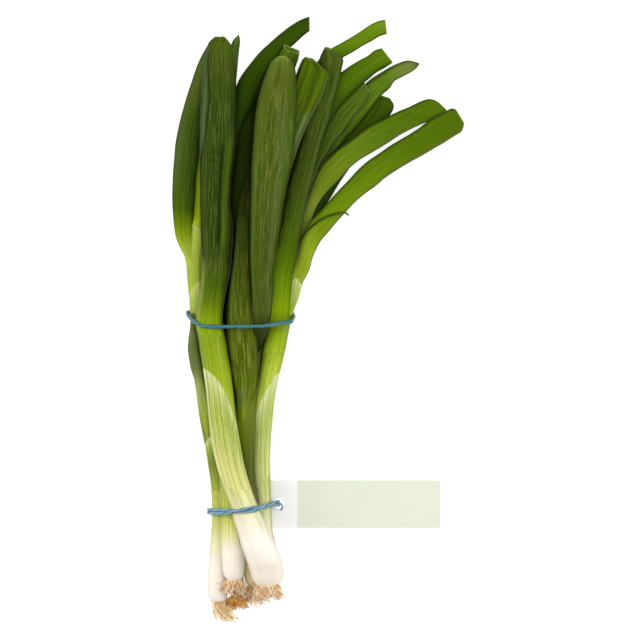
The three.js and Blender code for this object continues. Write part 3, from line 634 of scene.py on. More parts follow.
@dataclass(frozen=True)
class GrownSkin(Finish):
    """Living onion skin: a waxy cuticle over lengthwise veins, with a bloom that wears off in fine streaks.

    Sizes are in millimetres, across by along: the veins, the streaks, the specks and the worn patches.
    """

    veins: tuple[float, float] = (0.85, 160.0)
    streaks: tuple[float, float] = (0.4, 13.0)
    specks: tuple[float, float] = (0.36, 1.3)
    patches: tuple[float, float] = (4.0, 30.0)
    vein_depth: float = 0.06
    vein_colour: str = "#8f9c5c"
    vein_share: float = 0.75

    def build(self) -> bpy.types.Material:
        """Makes the material: the piece's tint, deeper along the veins, and the wax's colour where it is."""
        material, tree, shader = self.start()
        place = add(tree, "ShaderNodeUVMap", uv_map="UVMap").outputs[0]
        noise, sizes = {}, {
            "veins": self.veins, "streaks": self.streaks, "specks": self.specks, "patches": self.patches
        }
        ranges = {
            "veins": (0.45, 0.62), "streaks": (0.46, 0.66), "specks": (0.5, 0.68), "patches": (0.3, 0.66)
        }
        for turn, (key, (across, along)) in enumerate(sizes.items()):
            shift = {0: place, 1: (1 / across, 1 / along, 0), 2: (7.3 * turn, 3.1 * turn, 0)}
            where = add(tree, "ShaderNodeVectorMath", shift, operation="MULTIPLY_ADD").outputs[0]
            cloud = add(
                tree, "ShaderNodeTexNoise", {"Vector": where, "Scale": 1.0, "Detail": 1.5, "Roughness": 0.55}
            )
            low, high = ranges[key]
            noise[key] = add(
                tree, "ShaderNodeMapRange", {0: cloud.outputs[0], "From Min": low, "From Max": high}
            ).outputs[0]
        tint = add(tree, "ShaderNodeAttribute", attribute_name="tint").outputs[0]
        wax = add(tree, "ShaderNodeAttribute", attribute_name="wax").outputs[0]
        bloom = add(tree, "ShaderNodeAttribute", attribute_name="bloom").outputs[2]
        strength = add(tree, "ShaderNodeAttribute", attribute_name="veins").outputs[2]
        groove = add(
            tree, "ShaderNodeMath", {0: noise["veins"], 1: strength}, operation="MULTIPLY"
        ).outputs[0]
        deep = add(tree, "ShaderNodeMath", {0: groove, 1: self.vein_share}, operation="MULTIPLY").outputs[0]
        shade = {0: deep, 6: tint, 7: (*linear(self.vein_colour), 1)}
        veined = add(tree, "ShaderNodeMix", shade, data_type="RGBA", blend_type="MULTIPLY").outputs[2]
        worn = add(
            tree, "ShaderNodeMath", {0: noise["patches"], 1: 0.45, 2: 0.5}, operation="MULTIPLY_ADD"
        ).outputs[0]
        lines = add(tree, "ShaderNodeMath", {0: noise["streaks"], 1: worn}, operation="MULTIPLY").outputs[0]
        dust = add(
            tree, "ShaderNodeMath", {0: noise["specks"], 1: 0.42, 2: lines}, operation="MULTIPLY_ADD"
        ).outputs[0]
        cover = add(
            tree, "ShaderNodeMath", {0: dust, 1: bloom}, operation="MULTIPLY", use_clamp=True
        ).outputs[0]
        skin = add(tree, "ShaderNodeMix", {0: cover, 6: veined, 7: wax}, data_type="RGBA").outputs[2]
        tree.links.new(skin, shader.inputs["Base Color"])
        gloss = add(tree, "ShaderNodeMath", {0: cover, 1: 0.25, 2: self.roughness}, operation="MULTIPLY_ADD")
        tree.links.new(gloss.outputs[0], shader.inputs["Roughness"])
        height = add(tree, "ShaderNodeMath", {0: groove, 1: -1.0, 2: cover}, operation="MULTIPLY_ADD")
        relief = {"Height": height.outputs[0], "Strength": 1.0, "Distance": self.vein_depth * MM}
        tree.links.new(add(tree, "ShaderNodeBump", relief).outputs[0], shader.inputs["Normal"])
        return material


@dataclass(frozen=True)
class Fibre(Finish):
    """Dried root: thin straw-coloured skin, shrunk into fine wrinkles round the strand."""

    light: str = "#fadba6"
    dark: str = "#b87434"

    def build(self) -> bpy.types.Material:
        """Makes the material: two straw colours by a noise in real coordinates, over the strand's tint."""
        material, tree, shader = self.start()
        place = add(tree, "ShaderNodeTexCoord").outputs["Object"]
        noise = add(tree, "ShaderNodeTexNoise", {"Vector": place, "Scale": 420.0, "Detail": 3.0}).outputs[0]
        span = add(tree, "ShaderNodeMapRange", {0: noise, "From Min": 0.35, "From Max": 0.65}).outputs[0]
        tint = add(tree, "ShaderNodeAttribute", attribute_name="tint").outputs[0]
        straw = {0: span, 6: (*linear(self.dark), 1), 7: (*linear(self.light), 1)}
        tone = add(tree, "ShaderNodeMix", straw, data_type="RGBA").outputs[2]
        share = add(tree, "ShaderNodeMix", {0: 0.25, 6: tint, 7: tone}, data_type="RGBA").outputs[2]
        tree.links.new(share, shader.inputs["Base Color"])
        bump = add(tree, "ShaderNodeBump", {"Height": noise, "Strength": 0.6, "Distance": 0.1 * MM})
        tree.links.new(bump.outputs[0], shader.inputs["Normal"])
        return material


@dataclass(frozen=True)
class Rubber(Finish):
    """Covered elastic: a rubber core wound with blue yarn, whose turns slant round it and catch the light,
    with painted shade darkening the gaps between them.
    """

    crest: str = "#3a7e86"
    # groove: the colour between the turns, painted shade
    groove: str = "#215356"
    strands: int = 4
    pitch: float = 5.0

    def build(self) -> bpy.types.Material:
        """Makes the material: strands that wind round the cord, each turn a pitch long, in millimetres,
        darker between the turns as painted shade.
        """
        material, tree, shader = self.start()
        place = add(tree, "ShaderNodeUVMap", uv_map="UVMap").outputs[0]
        turn = 0.4 * np.pi
        size = (turn * self.strands, turn / self.pitch, 0)
        scaled = add(tree, "ShaderNodeVectorMath", {0: place, 1: size}, operation="MULTIPLY").outputs[0]
        yarn = {"Vector": scaled, "Scale": 0.5, "Distortion": 0.8, "Detail": 2.0, "Detail Scale": 2.0}
        wave = add(tree, "ShaderNodeTexWave", yarn, wave_type="BANDS", bands_direction="DIAGONAL").outputs[1]
        turns = {0: wave, 6: (*linear(self.groove), 1), 7: (*linear(self.crest), 1)}
        tree.links.new(
            add(tree, "ShaderNodeMix", turns, data_type="RGBA").outputs[2], shader.inputs["Base Color"]
        )
        bump = add(tree, "ShaderNodeBump", {"Height": wave, "Strength": 0.5, "Distance": 0.08 * MM})
        tree.links.new(bump.outputs[0], shader.inputs["Normal"])
        return material


@dataclass(frozen=True)
class Card(Finish):
    """Coated card: calendered white paper with a plain pale green panel that leaves the stub bare."""

    stub: str = "#f1f1f1"
    panel: str = "#d9ddca"
    cloud: str = "#cdd3b8"
    panel_from: float = -0.0106

    def build(self) -> bpy.types.Material:
        """Makes the material: the panel starts at a line across the card, and a faint fibre shows through."""
        material, tree, shader = self.start()
        place = add(tree, "ShaderNodeTexCoord").outputs["Object"]
        x = add(tree, "ShaderNodeSeparateXYZ", {0: place}).outputs[0]
        start = {0: x, "From Min": self.panel_from, "From Max": self.panel_from + 0.3 * MM}
        edge = add(tree, "ShaderNodeMapRange", start).outputs[0]
        fibre = add(tree, "ShaderNodeTexNoise", {"Vector": place, "Scale": 900.0, "Detail": 4.0}).outputs[0]
        cloudy = add(tree, "ShaderNodeTexNoise", {"Vector": place, "Scale": 60.0, "Detail": 2.0}).outputs[0]
        print_on = {0: edge, 6: (*linear(self.stub), 1), 7: (*linear(self.panel), 1)}
        tone = add(tree, "ShaderNodeMix", print_on, data_type="RGBA").outputs[2]
        thin = {0: cloudy, "From Min": 0.3, "From Max": 0.7, "To Min": 0.0, "To Max": 0.15}
        veil = add(tree, "ShaderNodeMapRange", thin).outputs[0]
        shade = add(
            tree, "ShaderNodeMix", {0: veil, 6: tone, 7: (*linear(self.cloud), 1)}, data_type="RGBA"
        ).outputs[2]
        tree.links.new(shade, shader.inputs["Base Color"])
        bump = add(tree, "ShaderNodeBump", {"Height": fibre, "Strength": 0.25, "Distance": 0.03 * MM})
        tree.links.new(bump.outputs[0], shader.inputs["Normal"])
        return material


# Grown leaf skin under a matt wax: a soft, dull highlight, with grey streaks where the bloom is still whole.
LEAF_SKIN = GrownSkin(
    "onion_leaf_waxy_cuticle",
    roughness=0.45,
    shader={"Specular IOR Level": 0.22, "Specular Tint": (0.5, 0.9, 0.08, 1.0)},
)
# Rolled sheaths, wet and tight: a sharper highlight, fine long veins, and light that sinks in a little.
STEM_SKIN = GrownSkin(
    "onion_stem_glossy_sheath",
    roughness=0.36,
    shader={
        "Specular IOR Level": 0.3,
        "Specular Tint": (0.95, 1.0, 0.3, 1.0),
        "Subsurface Weight": 0.1,
        "Subsurface Radius": (0.004, 0.004, 0.0015),
        "Subsurface Scale": 0.5,
    },
    veins=(0.95, 240.0),
    streaks=(0.6, 50.0),
    specks=(0.5, 3.0),
    vein_depth=0.05,
    vein_colour="#b4c468",
    vein_share=0.75,
)
# Root skin dried in the air: straw colours that change along each hair, and no shine.
ROOT_FIBRE = Fibre("onion_root_dried_fibre", roughness=0.75, shader={"Specular IOR Level": 0.2})
# Rubber wound with dyed yarn, lying slack: close slanting turns, with deep blue-green painted between them as
# shade.
COVERED_ELASTIC = Rubber("elastic_yarn_covered_relaxed", roughness=0.5)
# The same cord pulled tight: its turns open out and its blue grows paler, with painted shade still between
# the turns.
STRETCHED_ELASTIC = Rubber(
    "elastic_yarn_covered_stretched", roughness=0.45, crest="#83aaba", groove="#2a5d77", strands=3, pitch=9.0
)
# Calendered and coated card: an even, faintly glossy white, and a pale green panel with a hint of fibre.
COATED_CARD = Card("tag_coated_card", roughness=0.42)


def attach(
    piece: bpy.types.Object, material: bpy.types.Material, nodes: tuple[str, ...]
) -> bpy.types.Object:
    """Gives a piece its material, hides the nodes that it stands for, and fixes it to the bunch.

    Args:
        piece: the object.
        material: what it is made of.
        nodes: the nodes that it replaces, if any.

    Returns:
        The piece.
    """
    piece.data.materials.append(material)
    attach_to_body(piece, "root")
    if nodes:
        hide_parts(*nodes)
    LOG.info("%s: %d faces", piece.name, len(piece.data.polygons))
    return piece


@dataclass(frozen=True)
class LeafPlan:
    """One leaf: its node, its look and how it joins what is below it."""

    node: str
    slot: Slot
    patch: Patch
    tip: Tip = Tip.OPEN
    seed: int = 1
    creases: tuple[Crease, ...] = ()
    host: str = ""
    graft: tuple[float, float] = (0.0, 0.0)
    grow: float = 0.25
    square: float = 2.2
    rough: float = 0.22
    slant: float = 0.0
    wider: tuple[tuple[float, float, float], ...] = ()
    columns: int = 72


@dataclass
class Leaves:
    """All the leaves, each grown from its own plan, and led into its stem where it has one."""

    plans: tuple[LeafPlan, ...]

    def sections(self, plan: LeafPlan) -> Loft:
        """The leaf's sections, widened and grafted as its plan says."""
        loft = Loft.of_node(plan.node).wider(plan.wider)
        if plan.host:
            start, end = ((d - ORIGIN_DEPTH) * MM for d in plan.graft)
            loft = loft.grafted(Loft.of_node(plan.host), start, end, plan.grow * MM)
        return loft

    def build(self, material: bpy.types.Material) -> None:
        """Makes every leaf."""
        for plan in self.plans:
            body = Body(
                name=plan.node + "_blade",
                loft=self.sections(plan),
                patch=plan.patch,
                tip=plan.tip,
                seed=plan.seed,
                creases=plan.creases,
                square=plan.square,
                rough=plan.rough,
                slant=plan.slant,
                columns=plan.columns,
            )
            attach(body.build(), material, (plan.node,))


@dataclass(frozen=True)
class StemPlan:
    """One stem and bulb: its node, its look and its sheaths."""

    onion: str
    slot: Slot
    patch: Patch
    seed: int = 1
    wider: tuple[tuple[float, float, float], ...] = ()


@dataclass
class Stems:
    """The stems with their bulbs: nearly round, with faint ribs, and closed at both ends."""

    plans: tuple[StemPlan, ...]

    def build(self, material: bpy.types.Material) -> None:
        """Makes every stem."""
        for plan in self.plans:
            node = f"onion_{plan.onion}_shank"
            body = Body(
                name=f"onion_{plan.onion}_stem",
                loft=Loft.of_node(node).wider(plan.wider),
                patch=plan.patch,
                tip=Tip.CLOSED,
                seed=plan.seed,
                square=2.0,
                rough=0.12,
                columns=80,
            )
            attach(body.build(), material, (node,))


@dataclass(frozen=True)
class SheathPlan:
    """A sheath's open edge on a stem, as points of (share across, depth), and its lower end."""

    name: str
    host: str
    slot: Slot
    edge: tuple[tuple[float, float], ...]
    foot: float
    colours: tuple[str, str, str, str]
    lift: float = 0.3
    streaks: float = 0.0
    film: float = 0.35


@dataclass
class Sheaths:
    """The papery outer sheaths: thin skins on a stem below a slanting edge, melting into it lower down."""

    plans: tuple[SheathPlan, ...]
    rows: int = 60
    columns: int = 60

    def make(self, plan: SheathPlan) -> bpy.types.Object:
        """Makes one sheath as a closed skin.

        A point is on the stem's section at its own depth, at the angle whose cosine is the share across.
        The outer face stands off by the lift, which falls to nothing at the foot and at both sides; the
        inner face lies below the stem's skin. The two faces share their borders, so the rings run over the
        top and back underneath.

        Args:
            plan: the sheath's edge, foot and colours.

        Returns:
            The object.
        """
        host = Loft.of_node(plan.host)
        across, edge = np.array(plan.edge).T
        u = np.linspace(across[0], across[-1], self.columns)
        top = smooth(u, across, edge[:, None])[:, 0]
        q = np.linspace(0, 1, self.rows) ** 1.5
        depth = ((top + (plan.foot - top) * q[:, None]) - ORIGIN_DEPTH) * MM
        cut = Loft.of_table(smooth(depth.ravel(), host.depth(), host.table))
        angle = np.arccos(np.clip(np.broadcast_to(u, depth.shape).ravel(), -1, 1))
        centre, half = (cut.left + cut.right) / 2, (cut.right - cut.left) / 2
        unit = half / np.linalg.norm(half, axis=1)[:, None]
        sides = ease(0, 0.12, (u - u[0]) / (u[-1] - u[0])) * ease(0, 0.12, (u[-1] - u) / (u[-1] - u[0]))
        falling, sunk = (1 - ease(0.35, 1.0, q))[:, None], ease(0.7, 1, q)[:, None]
        rise = plan.lift * MM * falling * (0.25 + 0.75 * sides) - 0.12 * MM * sunk

        def skin(off: Array) -> Array:
            """The stem's surface moved out by off."""
            off = off.ravel()
            xy = centre + half * np.cos(angle)[:, None] + unit * (off * np.cos(angle))[:, None]
            z = cut.middle + cut.height / 2 * np.sin(angle) + off * np.sin(angle)
            return np.column_stack([xy, z]).reshape(self.rows, self.columns, 3)

        outer = skin(rise)
        under = skin(np.full(rise.shape, -0.35 * MM))
        rings = np.concatenate([outer, under[:, ::-1]], 1)
        share = np.broadcast_to(q[:, None], (self.rows, 2 * self.columns))
        stops = np.array([linear(c) for c in plan.colours])
        tint = np.stack([np.interp(share, [0, 0.12, 0.32, 1.0], stops[:, k]) for k in range(3)], -1)
        around = np.concatenate([u, u[::-1]])
        slant = 9.0 * around + 5.0 * share + 0.8 * np.sin(4.0 * around) + 0.6 * np.sin(9.0 * share)
        lines = np.sin(2.6 * slant) ** 4 * ease(0.04, 0.2, share) * (1 - ease(0.4, 0.75, share))
        tint = tint * (1 - plan.streaks * lines[..., None] * np.array([1.0, 0.7, 1.0]))
        width = 12.0 * np.arange(2 * self.columns + 1) / self.columns
        grid_u, grid_v = np.meshgrid(width, q * (plan.foot - top.mean()))
        wax = np.broadcast_to(np.array(linear("#eef0b4")), tint.shape)
        data = {
            "tint": tint, "wax": wax, "bloom": np.full(share.shape, plan.film), "veins": np.ones(share.shape)
        }
        return solid(
            plan.name, rings, np.stack([grid_u, grid_v], 2), (rings[0].mean(0), rings[-1].mean(0)), data
        )

    def build(self, material: bpy.types.Material) -> None:
        """Makes every sheath."""
        for plan in self.plans:
            attach(self.make(plan), material, ())


@dataclass(frozen=True)
class TuftPlan:
    """One root tuft: how many hairs, how long and which way they sweep, in millimetres."""

    onion: str
    slot: Slot
    hairs: int
    length: tuple[float, float]
    sweep: tuple[float, float]
    seed: int
    fan: float = 0.5
    colours: tuple[str, str] = ("#e0c294", "#b98a4e")
    plate: str = "#d8b886"
    curl: float = 1.0
    thick: tuple[float, float] = (0.22, 0.42)


@dataclass
class Roots:
    """The root tufts: a domed plate under each bulb, and thin hairs that spring from it, wander and taper."""

    plans: tuple[TuftPlan, ...]
    sides: int = 5
    steps: int = 9

    def hairs(self, plan: TuftPlan, centre: Array, radius: float, floor: float) -> tuple[Array, Array]:
        """The centre lines and thicknesses of a tuft's hairs.

        A hair starts on the plate, runs out and down by its own length, bends towards the tuft's sweep with
        the square of how far along it is, and wanders by two sine waves.

        Args:
            plan: the tuft.
            centre: the middle of the bulb's end.
            radius: the end's radius.
            floor: the lowest that a hair may lie.

        Returns:
            Points by hair and step, and the radius at each.
        """
        random = np.random.default_rng(plan.seed)
        n = plan.hairs
        t = np.linspace(0, 1, self.steps)[None, :]
        turn = random.uniform(0, 2 * np.pi, (n, 1))
        out = radius * 0.92 * np.sqrt(random.uniform(0.02, 1, (n, 1)))
        length = random.uniform(*plan.length, (n, 1)) * MM
        fan = 1 + plan.fan * t * random.uniform(0.5, 1.7, (n, 1))
        phase = random.uniform(0, 2 * np.pi, (4, n, 1))
        wander = plan.curl * MM * t * random.uniform(0.15, 0.9, (n, 1))
        x = centre[0] + np.cos(turn) * out * fan + plan.sweep[0] * MM * t**2 * random.uniform(
            0.4, 1.3, (n, 1)
        )
        x += wander * np.sin(5.5 * t + phase[0]) + 0.4 * wander * np.sin(13 * t + phase[1])
        y = centre[1] + 0.6 * MM - length * t * plan.sweep[1]
        y += 0.5 * wander * np.sin(7 * t + phase[2])
        z = centre[2] + np.sin(turn) * out * fan - 1.6 * MM * t**2 + wander * np.sin(6.5 * t + phase[3])
        thick = MM * random.uniform(*plan.thick, (n, 1)) * (1 - 0.55 * t)
        return np.stack([x, y, np.maximum(z, floor + thick)], 2), thick

    def make(self, plan: TuftPlan) -> bpy.types.Object:
        """Makes one tuft as a single mesh: the plate and all its hairs.

        Args:
            plan: the tuft.

        Returns:
            The object.
        """
        shank = Loft.of_node(f"onion_{plan.onion}_shank")
        centre = np.append((shank.left[-1] + shank.right[-1]) / 2, shank.middle[-1])
        radius = np.linalg.norm(shank.right[-1] - shank.left[-1]) / 2
        lines, thick = self.hairs(plan, centre, radius, 0.02 * MM)
        ahead = np.gradient(lines, axis=1)
        ahead /= np.linalg.norm(ahead, axis=2)[..., None]
        side = np.cross(ahead, np.array([0.31, 0.2, 0.93]))
        side /= np.linalg.norm(side, axis=2)[..., None]
        up = np.cross(ahead, side)
        angle = 2 * np.pi * np.arange(self.sides) / self.sides
        ring = side[:, :, None] * np.cos(angle)[:, None] + up[:, :, None] * np.sin(angle)[:, None]
        tubes = lines[:, :, None] + ring * thick[:, :, None, None]
        per = self.steps * self.sides + 2
        points = np.concatenate([tubes.reshape(plan.hairs, -1, 3), lines[:, :1], lines[:, -1:]], 1)
        across = np.meshgrid(np.arange(self.steps - 1), np.arange(self.sides), indexing="ij")
        row, column = (grid.ravel() for grid in across)
        right = (column + 1) % self.sides
        quads = np.stack(
            [
                row * self.sides + column, (row + 1) * self.sides + column, (row + 1) * self.sides + right,
                row * self.sides + right
            ],
            1,
        )
        around = np.arange(self.sides)
        after = (around + 1) % self.sides
        last = (self.steps - 1) * self.sides
        starts = np.stack([np.full(self.sides, per - 2), around, after], 1)
        ends = np.stack([last + after, last + around, np.full(self.sides, per - 1)], 1)
        a, b, c = (points[0][quads[:, k]] for k in range(3))
        centre_line = points[0].mean(0)
        if ((a - centre_line) * np.cross(b - a, c - a)).sum() < 0:
            quads, starts, ends = quads[:, ::-1], starts[:, ::-1], ends[:, ::-1]
        faces: list[list[int]] = []
        for k in range(plan.hairs):
            for group in (quads, starts, ends):
                faces += (group + k * per).tolist()
        random = np.random.default_rng(plan.seed + 100)
        share = np.repeat(random.uniform(0, 1, plan.hairs), per)[:, None]
        light, dark = (np.array(linear(c)) for c in plan.colours)
        tint = light + (dark - light) * share**1.8
        dome, dome_faces = self.plate(centre, radius)
        faces += [[v + plan.hairs * per for v in f] for f in dome_faces]
        tint = np.vstack([tint, np.tile(linear(plan.plate), (len(dome), 1))])
        mesh = bpy.data.meshes.new(f"onion_{plan.onion}_root_tuft")
        mesh.from_pydata(np.vstack([points.reshape(-1, 3), dome]).tolist(), [], faces)
        mesh.polygons.foreach_set("use_smooth", np.ones(len(mesh.polygons), bool))
        colour = mesh.color_attributes.new(name="tint", type="FLOAT_COLOR", domain="POINT")
        colour.data.foreach_set(
            "color", np.hstack([tint, np.ones((len(tint), 1))]).astype(np.float32).ravel()
        )
        mesh.update()
        piece = bpy.data.objects.new(mesh.name, mesh)
        bpy.context.scene.collection.objects.link(piece)
        return piece

    @staticmethod
    def plate(centre: Array, radius: float) -> tuple[Array, list[list[int]]]:
        """The domed root plate: rings whose radius follows a quarter ellipse, knobbly by three waves.

        Args:
            centre: the middle of the bulb's end.
            radius: the end's radius.

        Returns:
            The points and the faces.
        """
        rows, columns = 9, 28
        t = np.linspace(0, 1, rows)[:, None]
        angle = 2 * np.pi * np.arange(columns) / columns
        size = radius * np.sqrt(np.maximum(1.0004 - t**2, 0)) * (1 + 0.06 * np.sin(7 * angle + 5 * t) * t)
        y = centre[1] + 0.5 * MM - (0.5 * MM + 0.5 * radius * t) + 0 * angle
        z = np.maximum(centre[2] + size * np.sin(angle), 0.02 * MM)
        rings = np.stack([centre[0] + size * np.cos(angle), y, z], 2)
        points = np.vstack([rings.reshape(-1, 3), rings[0].mean(0), rings[-1].mean(0)])
        faces = []
        for i in range(rows - 1):
            for j in range(columns):
                k = (j + 1) % columns
                faces.append([i * columns + j, i * columns + k, (i + 1) * columns + k, (i + 1) * columns + j])
        for j in range(columns):
            k = (j + 1) % columns
            faces.append([k, j, rows * columns])
            faces.append([(rows - 1) * columns + j, (rows - 1) * columns + k, rows * columns + 1])
        return points, faces

    def build(self, material: bpy.types.Material) -> None:
        """Makes every tuft."""
        for plan in self.plans:
            attach(self.make(plan), material, (f"onion_{plan.onion}_roots",))


@dataclass
class Bands:
    """The elastic bands: round cords on the frame's own routes, with a slow twist and uneven thickness."""

    sides: int = 20
    spacing: float = 0.45
    upper: tuple[float, float] = (0.96, 0.8)
    lower: tuple[float, float] = (0.8, 0.72)
    upper_slide: tuple[tuple[float, float], ...] = (
        (-65.6, -1.5), (-62.6, -0.2), (-57.1, 1.3), (-45.0, 0.8), (-33.1, 0.1), (-19.1, -0.8),
        (-13.6, -1.0), (-12.1, 0.3),
    )
    lower_slide: tuple[tuple[float, float], ...] = (
        (-56.6, 0.8), (-53.1, 1.3), (-42.6, 2.2), (-30.1, 2.1), (-23.6, 1.1), (-19.0, 0.9)
    )
    settling: tuple[float, float] = (15, 25)
    upper_settle: tuple[tuple[float, float], ...] = (
        (-62.3, 0.4), (-56.8, 0.1), (-54.1, 0.3), (-30.1, 1.8), (-24.9, 1.3), (-22.4, 2.2), (-17.6, 3.6),
        (-13.3, 3.4),
    )
    lower_settle: tuple[tuple[float, float], ...] = (
        (-50.0, 0.4), (-45.0, 2.2), (-42.9, 2.0), (-41.2, 1.2), (-39.6, 0.8), (-37.7, 0.4), (-35.7, 0.5),
        (-32.0, 0.7), (-29.7, 0.8), (-26.0, 0.3),
    )

    def laid(self, node: str) -> Array:
        """The cord's centre line, slid towards the roots and with its upper run settled on the stems.

        Each move is a table of x against millimetres. The settling grows with height, from none at the lower
        of the settling heights to all at the upper one.

        Args:
            node: the cord's node.

        Returns:
            The centres in order.
        """
        moved, _ = self.route(node)
        upper = node.endswith("upper")
        slide = self.upper_slide if upper else self.lower_slide
        settle = self.upper_settle if upper else self.lower_settle
        share = np.clip((moved[:, 2] / MM - self.settling[0]) / (self.settling[1] - self.settling[0]), 0, 1)
        towards_roots = np.interp(moved[:, 0], *(np.array(slide).T * MM))
        down = np.interp(moved[:, 0], *(np.array(settle).T * MM)) * share
        return moved - np.stack([0 * down, towards_roots, down], 1)

    @staticmethod
    def route(node: str) -> tuple[Array, float]:
        """The centre line of a closed cord, from the rings of its solid.

        Edges round a ring are much shorter than those between rings, so they alone tie each ring together.

        Args:
            node: the cord's node.

        Returns:
            The ring centres in order, and the cord's radius.
        """
        corners, edges = merged(node)
        length = np.linalg.norm(corners[edges[:, 0]] - corners[edges[:, 1]], axis=1)
        short = edges[length < 1.0 * MM]
        label = np.arange(len(corners))
        while True:
            low = np.minimum(label[short[:, 0]], label[short[:, 1]])
            after = label.copy()
            np.minimum.at(after, short[:, 0], low)
            np.minimum.at(after, short[:, 1], low)
            if (after == label).all():
                break
            label = after
        names, ring = np.unique(label, return_inverse=True)
        centres = np.stack([corners[ring == k].mean(0) for k in range(len(names))])
        radius = float(np.linalg.norm(corners - centres[ring], axis=1).mean())
        links = {k: set() for k in range(len(names))}
        for a, b in ring[edges[length >= 1.0 * MM]]:
            if a != b:
                links[a].add(b)
                links[b].add(a)
        order = [0]
        while len(order) < len(names):
            ahead = [k for k in links[order[-1]] if k not in order[-2:] and k not in order]
            order.append(ahead[0])
        return centres[order], radius

    def make(self, name: str, node: str, size: tuple[float, float], turns: float) -> bpy.types.Object:
        """Makes one cord: an ellipse carried along a closed cubic curve, with lobes that turn as it goes.

        Args:
            name: the piece's name.
            node: the node that it stands for.
            size: half the width along the bunch, and half the thickness, in millimetres.
            turns: how many times the lobes turn on the way.

        Returns:
            The object.
        """
        centres = self.laid(node)
        extra = 3
        closed = np.vstack([centres[-extra:], centres, centres[: extra + 1]])
        marks = np.concatenate([[0.0], np.cumsum(np.linalg.norm(np.diff(closed, axis=0), axis=1))])
        start, end = marks[extra], marks[extra + len(centres)]
        count = int((end - start) / (self.spacing * MM))
        where = start + (end - start) * np.arange(count) / count
        line = smooth(where, marks, closed)
        ahead = np.roll(line, -1, 0) - np.roll(line, 1, 0)
        ahead /= np.linalg.norm(ahead, axis=1)[:, None]
        side = np.array([0.0, 1.0, 0.0]) - ahead * ahead[:, 1:2]
        side /= np.linalg.norm(side, axis=1)[:, None]
        up = np.cross(ahead, side)
        angle = 2 * np.pi * np.arange(self.sides) / self.sides
        turn = 2 * np.pi * turns * np.arange(count) / count
        lobes = 1 + 0.06 * np.cos(2 * (angle[None, :] - turn[:, None]))
        wide, deep = size[0] * MM * np.cos(angle), size[1] * MM * np.sin(angle)
        ring = side[:, None] * wide[:, None] + up[:, None] * deep[:, None]
        points = line[:, None] + ring * lobes[..., None]
        points[..., 2] = np.maximum(points[..., 2], 0.02 * MM)
        return self.closed_tube(name, points, (where - start) / MM)

    def closed_tube(self, name: str, points: Array, along: Array) -> bpy.types.Object:
        """Puts rings that close on themselves into a mesh, with their places in millimetres as UV.

        Args:
            name: the piece's name.
            points: rows of rings.
            along: each ring's distance along the cord, in millimetres.

        Returns:
            The object.
        """
        rows, columns = points.shape[:2]
        row, column = (g.ravel() for g in np.meshgrid(np.arange(rows), np.arange(columns), indexing="ij"))
        below, right = (row + 1) % rows, (column + 1) % columns
        quads = np.stack(
            [
                row * columns + column, below * columns + column, below * columns + right,
                row * columns + right
            ],
            1,
        )
        flat = points.reshape(-1, 3)
        a, b, c = (flat[quads[:, k]] for k in range(3))
        step = along[1] - along[0]
        v = np.stack([along[row], along[row] + step, along[row] + step, along[row]], 1)
        u = np.stack([column, column, column + 1, column + 1], 1) / columns
        if (a * np.cross(b, c)).sum() < 0:
            quads, u, v = quads[:, ::-1], u[:, ::-1], v[:, ::-1]
        mesh = bpy.data.meshes.new(name)
        mesh.from_pydata(flat.tolist(), [], quads.tolist())
        mesh.uv_layers.new(name="UVMap").data.foreach_set(
            "uv", np.stack([u, v], 2).astype(np.float32).ravel()
        )
        mesh.polygons.foreach_set("use_smooth", np.ones(len(mesh.polygons), bool))
        mesh.update()
        piece = bpy.data.objects.new(name, mesh)
        bpy.context.scene.collection.objects.link(piece)
        return piece

    def knot(self, node: str) -> bpy.types.Object:
        """Makes the knot's loose end: a thin cord that bends over like a hook, where the band turns.

        Args:
            node: the band's node.

        Returns:
            The object.
        """
        centres = self.laid(node)
        end = centres[centres[:, 0].argmax()]
        t = np.linspace(0, 1, 48)
        angle = np.pi * (1.4 * t - 0.4)
        reach = MM * (1.9 - 0.3 * t)
        line = end + np.stack(
            [reach * np.cos(angle), reach * np.sin(angle) - 0.8 * MM, MM * (0.5 + np.sin(np.pi * t))], 1
        )
        out = np.stack([np.cos(angle), np.sin(angle), 0 * angle], 1)
        around = 2 * np.pi * np.arange(12) / 12
        size = 0.6 * MM * (0.55 + 0.45 * t)[:, None, None]
        lift = np.array([0.0, 0.0, 1.0]) * np.sin(around)[:, None]
        rings = line[:, None] + size * (out[:, None] * np.cos(around)[:, None] + lift)
        u, v = np.meshgrid(np.arange(13) / 12, 14.0 * t)
        return solid(node + "_loose_end", rings, np.stack([u, v], 2), (line[0], line[-1]), {})

    def build(self, relaxed: bpy.types.Material, stretched: bpy.types.Material) -> None:
        """Makes both bands and the loose end of the lower one's knot."""
        bands = (("upper", self.upper, 5.0, relaxed), ("lower", self.lower, 14.0, stretched))
        for which, size, turns, material in bands:
            node = f"elastic_band_{which}"
            attach(self.make(f"{node}_cord", node, size, turns), material, (node,))
        attach(self.knot("elastic_band_lower"), stretched, ())


@dataclass(frozen=True)
class Light:
    """A large soft lamp: where it stands, how wide it is and how bright, in metres and watts."""

    name: str
    place: tuple[float, float, float]
    size: tuple[float, float]
    power: float
    colour: str = "#ffffff"


